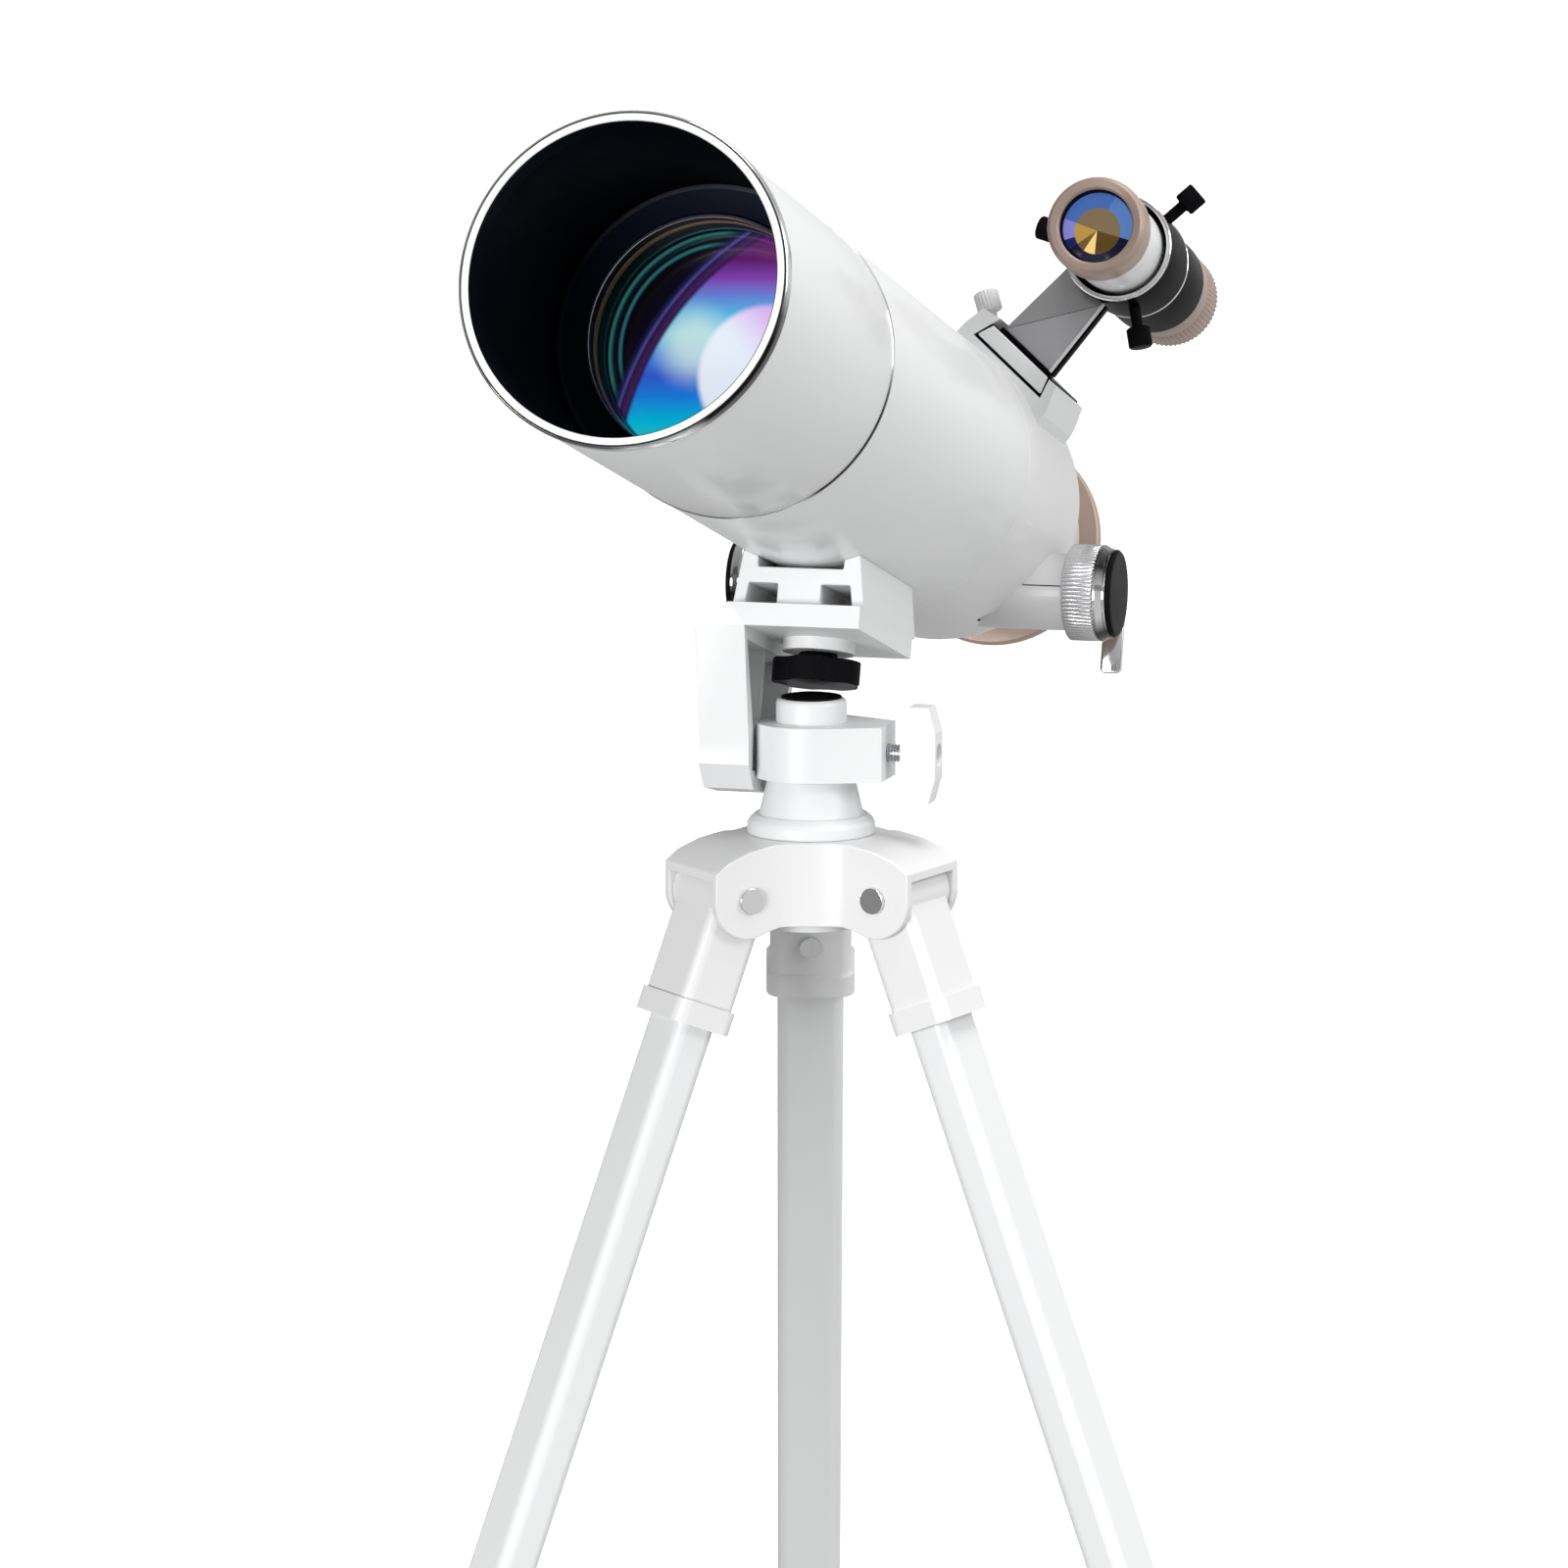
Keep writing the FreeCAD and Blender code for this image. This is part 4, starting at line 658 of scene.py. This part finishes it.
lathe("eyepiece_body", [(12, 542.4), (17.4, 542.4), (18, 543), (18, 547), (17.4, 547.6), (17.4, 549),
                        (17.9, 549.5), (17.9, 550), (17.9, 571), (17.5, 571.6), (17.2, 575), (15.6, 583),
                        (15.5, 589), (14.5, 590), (9, 590), (9, 586), (10, 586), (10, 578), (12, 578)], OPTIC,
      BLACK_PLASTIC, *part_of("eyepiece"), segments=320, soften=0, wave=grip, smooth=50)
lathe("eye_lens", [(0, 578.6), (4, 578.8), (10, 580), (10, 585.6), (0, 586)], OPTIC, EYE_GLASS,
      *part_of("eyepiece_lens"), segments=96, soften=0, closed=False, smooth=60)
LEVER = OPTIC @ shift(0, 0, 528) @ turn("Z", 30) @ turn("Y", 90)
prism("eyepiece_lever_tab", [(-2.2, 25.5), (2.2, 25.5), (2.2, 35.9), (19.2, 45.7), (19.6, 47.2), (16.9, 51.8),
                             (15.2, 52.7), (-3.4, 41.9)], -1.2, 1.2,
      LEVER @ Matrix(((0, 0, 1, 0), (1, 0, 0, 0), (0, 1, 0, 0), (0, 0, 0, 1))), CHROME,
      *part_of("eyepiece_clamp_lever"), corner=1.0, rims=0.6)
lathe("eyepiece_lever_boss", [(0, 16.2), (2, 16.2), (2, 21.3), (3.2, 21.3), (3.2, 25.6), (2.6, 26.3),
                              (0, 26.3)], LEVER, CHROME, *part_of("eyepiece_clamp_lever"), segments=64,
      soften=0.3, closed=False)

# ---------------------------------------------------------------- finder
lathe("finder_tube_shell", [(14.3, 306), (15.5, 306), (15.5, 419.7), (14.3, 419.7)], FINDER_OPTIC, WHITE_TUBE,
      *part_of("finder_tube"), segments=128, soften=0.2)
lathe("finder_front_trim", [(12.7, 299.2), (13.3, 298.5), (15.6, 298), (16.9, 299.4), (17.1, 301),
                            (17.1, 308.4), (16.8, 309.4), (15.9, 311.6), (15.5, 312), (15.5, 306),
                            (14.3, 306), (14.3, 300.4), (12.7, 300.4)], FINDER_OPTIC, ROSE,
      *part_of("finder_front_ring"), segments=128, soften=0.25)


def fine_knurl(angle, index, count=64):
    return 0.2 * math.cos(angle * count) if 5 <= index <= 6 else 0.0


lathe("finder_sleeve", [(15.5, 363.4), (17.5, 363.4), (17.7, 363.7), (17.7, 395.4), (17.3, 396), (15.5, 396)],
      FINDER_OPTIC, BLACK_METAL, *part_of("finder_tube"), segments=128, soften=0.1)
lathe("finder_focus_grip", [(15.55, 396.2), (16.6, 396.2), (16.9, 396.8), (16.9, 408), (16.6, 408.8),
                            (17.0, 409.6), (17.0, 423.6), (16.4, 424.8), (15.5, 426), (7, 426), (7, 420),
                            (15.55, 420)], FINDER_OPTIC, ROSE, *part_of("finder_focus_ring"), segments=512,
      soften=0, wave=fine_knurl, smooth=50)
# The finder objective, painted: amber and blue reflections in sectors round its middle, also emitted as a painted
# glow.
FINDER_GLASS, tree, shader = node_material("finder_lens_painted_reflections", (0.1, 0.1, 0.3), 0.12, 0.0, 0.0, 0.25)
axes = local_coordinates(tree)
from_middle = math_node(tree, "SUBTRACT", axes[0], 0.9)
below_middle = math_node(tree, "SUBTRACT", axes[1], 0.9)
bearing = math_node(tree, "ARCTAN2", below_middle, from_middle)
sector = math_node(tree, "FRACT", math_node(tree, "ADD", math_node(tree, "DIVIDE", bearing, 2 * math.pi),
                                            1.0))


def sectors(stops):
    """Painted reflection colours by bearing clockwise from the right, in fractions of a turn in the finder's own
    frame.
    """
    return ramp(tree, sector, stops, "CONSTANT")


inner = sectors([(0.0, (0.10, 0.055, 0.012)), (0.142, (0.95, 0.66, 0.22)), (0.224, (0.16, 0.10, 0.03)),
                 (0.291, (0.46, 0.28, 0.06)), (0.438, (0.20, 0.145, 0.075)), (0.925, (0.10, 0.055, 0.012))])
outer = sectors([(0.0, (0.004, 0.006, 0.03)), (0.291, (0.010, 0.014, 0.10)), (0.34, (0.22, 0.22, 0.62)),
                 (0.438, (0.055, 0.14, 0.42)), (0.70, (0.09, 0.20, 0.50)), (0.925, (0.004, 0.006, 0.03))])
radius = gap(tree, axes, 0.9, 0.9)
glass = blend(tree, step(tree, radius, 7.7, 8.2), inner, outer)
glass = blend(tree, step(tree, gap(tree, axes, 0, 0), 11.9, 12.3), glass, (0.004, 0.004, 0.008))
with_painted_glow(tree, shader, glass, 0.3, 0.8)
lathe("finder_objective", [(0, 301.4), (5, 301.6), (10, 302.2), (14.2, 303.2), (14.3, 305), (0, 305.6)],
      FINDER_OPTIC, FINDER_GLASS, *part_of("finder_lens"), segments=96, soften=0, closed=False, smooth=60)
lathe("finder_eye_glass", [(0, 414), (14.2, 414), (14.2, 416.6), (7, 417.2), (0, 417.4)], FINDER_OPTIC,
      EYE_GLASS, *part_of("finder_lens"), segments=96, soften=0, closed=False, smooth=60)
lathe("finder_hoop", [(17.2, 334.3), (18.7, 334.3), (18.9, 334.6), (18.9, 362.0), (18.7, 362.3),
                      (17.2, 362.3)], FINDER_OPTIC, BLACK_METAL, *part_of("finder_bracket"), segments=144,
      soften=0.1)
for name, start in (("front", 333.0), ("rear", 362.2)):
    lathe("finder_hoop_lip_" + name, [(17.3, start), (18.6, start), (19.0, start + 0.3), (19.0, start + 0.9),
                                      (18.7, start + 1.2), (17.3, start + 1.2)], FINDER_OPTIC, CHROME,
          *part_of("finder_bracket"), segments=144, soften=0.2)
STEM = FINDER @ turn("X", 90)
prism("finder_stem", [(-10.8, 60.4), (12.2, 60.4), (9.5, 90.2), (-9.5, 90.2)], -342.4, -338.2, STEM,
      GREY_METAL, *part_of("finder_bracket"), corner=0.3, rims=0.5)
# A painted highlight along the stem's right edge, and a black strip as painted shade on its right side face.
prism("finder_stem_painted_highlight", [(11.3, 60.4), (12.5, 60.4), (9.8, 90.2), (8.7, 90.2)], -342.3, -337.9, STEM,
      WHITE_CAST, *part_of("finder_bracket"), corner=0.1, rims=0.15)
prism("finder_stem_painted_shade", [(12.4, 60.0), (13.4, 60.0), (10.6, 90.2), (9.7, 90.2)], -342.4, -338.4, STEM,
      BLACK_METAL, *part_of("finder_bracket"), corner=0.1, rims=0.1)
prism("finder_stem_gap", [(-11.6, 58.7), (12.9, 58.7), (12.9, 60.6), (-11.6, 60.6)], -342.6, -337.7, STEM,
      BLACK_METAL, *part_of("finder_bracket"), corner=0.3, rims=0.3)
foot_outline = [(-13.5, 58.7), (-15.7, 52.8), (15.7, 52.8), (13.5, 58.7)]
prism("finder_foot", foot_outline, -379.4, -335.0, STEM, WHITE_CAST, *part_of("finder_bracket"), corner=0.6,
      rims=0.4)
# A black shell a little larger than the foot: painted shadow along its edges.
prism("finder_foot_painted_shadow", [(-14.25, 59.05), (-16.5, 52.0), (16.5, 52.0), (14.25, 59.05)], -379.5, -335.6,
      STEM, BLACK_METAL, *part_of("finder_bracket"), corner=0.6, rims=0.1)
for number in (1, 2, 3):
    seat = FINDER @ shift(0, 348, FINDER_RISE) @ turn("Y", 120 * number - 114)
    node = "finder_screw_%d" % number
    lathe(node + "_shank", [(0, 15.8), (1.6, 15.8), (2.0, 16.3), (2.0, 25.6), (2.7, 26.2), (0, 26.2)], seat,
          BLACK_PLASTIC, *part_of(node), segments=48, soften=0.1, closed=False)

    def grooves(angle, index):
        return 0.12 * math.cos(angle * 24) if 2 <= index <= 3 else 0.0

    lathe(node + "_head", [(0, 26.0), (3.6, 26.0), (4.03, 26.5), (4.03, 32.5), (3.6, 33.0), (0, 33.0)], seat,
          BLACK_PLASTIC, *part_of(node), segments=192, soften=0, closed=False, wave=grooves, smooth=50)
SHOE_SCREW = FINDER @ shift(-14.9, 347, 57.4) @ turn("Y", -60)


def scallops(angle, index):
    return 0.12 * math.cos(angle * 22) if 2 <= index <= 3 else 0.0


lathe("shoe_screw_head", [(0, 7.6), (3.9, 7.6), (4.33, 8.1), (4.33, 14.2), (3.9, 14.8), (0, 14.8)],
      SHOE_SCREW, WHITE_PLASTIC, *part_of("shoe_screw"), segments=176, soften=0, closed=False, wave=scallops,
      smooth=50)
lathe("shoe_screw_shank", [(0, 1.4), (1.7, 1.4), (2, 1.9), (2, 7.8), (0, 7.8)], SHOE_SCREW, WHITE_PLASTIC,
      *part_of("shoe_screw"), segments=48, soften=0.1, closed=False)
softened("finder_shoe", WHITE_CAST, 0.0006)

# ---------------------------------------------------------------- head
softened("saddle_block", WHITE_CAST, 0.0005)
softened("tilt_bracket", WHITE_CAST, 0.0012)
softened("pan_collar", WHITE_CAST, 0.0009)
softened("wing_knob", WHITE_PLASTIC, 0.0014, 4)
softened("clamp_knob", BLACK_PLASTIC, 0.0008)
softened("tripod_crown", WHITE_PLASTIC, 0.0009)
lathe("column_body", [(0, -59), (14, -59), (14, -55), (12, -55), (12, -27.5), (21.1, -27.5), (21.1, -24.0),
                      (20.4, -22.6), (18.6, -21), (17.2, -21), (14.5, -9.1), (11.7, -9.1), (11.7, 15.6),
                      (11.4, 16.6), (10.5, 17.3), (0, 17.3)], HEAD, WHITE_CAST, *part_of("centre_column"),
      segments=144, soften=0.7, closed=False)
lathe("column_cap_dome", [(0, 17.3), (9.7, 17.3), (10.2, 17.5), (9.9, 17.9), (6.7, 18.45), (0, 18.6)], HEAD,
      BLACK_PLASTIC, *part_of("column_cap"), segments=96, soften=0.1, closed=False)
thread = [(0, 12.2), (2.2, 12.2)]
z = 13.2
while z < 31.2:
    thread += [(2.45, z), (2.95, z + 0.35), (2.95, z + 0.55), (2.45, z + 0.9)]
    z += 1.0
thread += [(2.6, 32.4), (0, 32.4)]
lathe("wing_screw_thread", thread, PAN @ turn("Y", 90), STEEL, *part_of("wing_screw"), segments=64, soften=0,
      closed=False)
softened("tilt_pivot_bolt", CHROME, 0.0004)

# ---------------------------------------------------------------- tripod
softened("leg_pivot_pins", CHROME, 0.0003)
for name in SIDES:
    softened("leg_socket_" + name, WHITE_PLASTIC, 0.0007)
    softened("leg_tube_" + name, LEG_PAINT, 0.0002, 2)
    softened("leg_clamp_" + name, WHITE_PLASTIC, 0.0007)
    softened("leg_slider_" + name, LEG_PAINT, 0.0002, 2)
    softened("leg_foot_" + name, RUBBER, 0.0008)
    softened("leg_lever_" + name, BLACK_PLASTIC, 0.0005)
    softened("leg_screw_" + name, CHROME, 0.0003)

for node, material in (("focus_rack", STEEL), ("focus_shaft", STEEL), ("housing_screws", CHROME)):
    frame["nodes"][node].data.materials.clear()
    frame["nodes"][node].data.materials.append(material)

# ---------------------------------------------------------------- floor, light, camera
floor_mesh = bpy.data.meshes.new("floor")
reach = 30.0
floor_mesh.from_pydata([(-reach, -reach, 0), (reach, -reach, 0), (reach, reach, 0), (-reach, reach, 0)], [],
                       [(0, 1, 2, 3)])
floor = bpy.data.objects.new("floor", floor_mesh)
bpy.context.scene.collection.objects.link(floor)
floor_material, floor_tree, floor_shader = node_material("pale_floor", (0.95, 0.95, 0.95), 0.9, specular=0.05)
floor_tree.links.new(ramp(floor_tree, noise(floor_tree, 3.0), [(0.3, (0.94,) * 3), (0.7, (0.95,) * 3)]),
                     floor_shader.inputs["Base Color"])
floor_shader.inputs["Emission Color"].default_value = (1, 1, 1, 1)
floor_shader.inputs["Emission Strength"].default_value = 0.3
floor.visible_diffuse = False
floor.visible_glossy = False
floor_mesh.materials.append(floor_material)

world = bpy.data.worlds.new("studio")
bpy.context.scene.world = world
world.use_nodes = True
sky_tree = world.node_tree
background = sky_tree.nodes["Background"]
direction = sky_tree.nodes.new("ShaderNodeTexCoord").outputs["Generated"]
axes = sky_tree.nodes.new("ShaderNodeSeparateXYZ")
sky_tree.links.new(direction, axes.inputs["Vector"])
height_factor = math_node(sky_tree, "ADD", math_node(sky_tree, "MULTIPLY", axes.outputs["Z"], 0.5), 0.5)
sky = ramp(sky_tree, height_factor, [(0.0, (0.7,) * 3), (0.45, (0.9,) * 3), (0.58, (0.85,) * 3),
                                     (0.6, (0.4,) * 3), (0.67, (0.36,) * 3), (0.7, (0.95,) * 3),
                                     (0.86, (1.0,) * 3), (1.0, (0.7,) * 3)])
side_factor = math_node(sky_tree, "ADD", math_node(sky_tree, "MULTIPLY", axes.outputs["X"], 0.5), 0.5)
sideways = ramp(sky_tree, side_factor, [(0.0, (0.4,) * 3), (0.36, (0.55,) * 3), (0.6, (1.0,) * 3),
                                        (1.0, (1.1,) * 3)])
shaded_sky = sky_tree.nodes.new("ShaderNodeMix")
shaded_sky.data_type = "RGBA"
shaded_sky.blend_type = "MULTIPLY"
shaded_sky.inputs["Factor"].default_value = 1.0
sky_tree.links.new(sky, shaded_sky.inputs["A"])
sky_tree.links.new(sideways, shaded_sky.inputs["B"])
sky_tree.links.new(shaded_sky.outputs["Result"], background.inputs["Color"])
background.inputs["Strength"].default_value = 0.76


def area_light(name, place, target, size, power):
    data = bpy.data.lights.new(name, "AREA")
    data.shape = "RECTANGLE"
    data.size, data.size_y = size
    data.energy = power
    lamp = bpy.data.objects.new(name, data)
    bpy.context.scene.collection.objects.link(lamp)
    direction = Vector(target) - Vector(place)
    lamp.matrix_world = Matrix.Translation(place) @ direction.to_track_quat("-Z", "Y").to_matrix().to_4x4()
    lamp.visible_camera = False


sun = bpy.data.lights.new("key", "SUN")
sun.energy = 1.8
sun.angle = math.radians(28)
key = bpy.data.objects.new("key", sun)
bpy.context.scene.collection.objects.link(key)
key.matrix_world = Vector((-0.2, 0.1, -1.0)).to_track_quat("-Z", "Y").to_matrix().to_4x4()
area_light("rim", (1.5, 0.9, 1.5), (0, 0, 0.6), (0.5, 1.2), 3)
area_light("strip", (-1.1, -1.5, 0.35), (0, -0.1, 0.5), (0.25, 1.0), 2)
area_light("front", (-1.3, -2.1, 0.62), (0, 0, 0.45), (1.1, 0.8), 44)
area_light("side", (1.6, -0.9, 1.45), (0, 0, 0.6), (0.6, 0.9), 11)

camera_data = bpy.data.cameras.new("camera")
camera_data.lens = CAMERA_LENS
camera_data.sensor_width = CAMERA_SENSOR
camera_data.clip_end = 100
camera = bpy.data.objects.new("camera", camera_data)
bpy.context.scene.collection.objects.link(camera)
camera.location = Vector(tilt["pos_m"]) + Vector(CAMERA_FROM_TILT)
camera.rotation_euler = (math.radians(90 - CAMERA_DOWN), 0, 0)
bpy.context.scene.camera = camera
bpy.context.scene.view_settings.view_transform = "Standard"
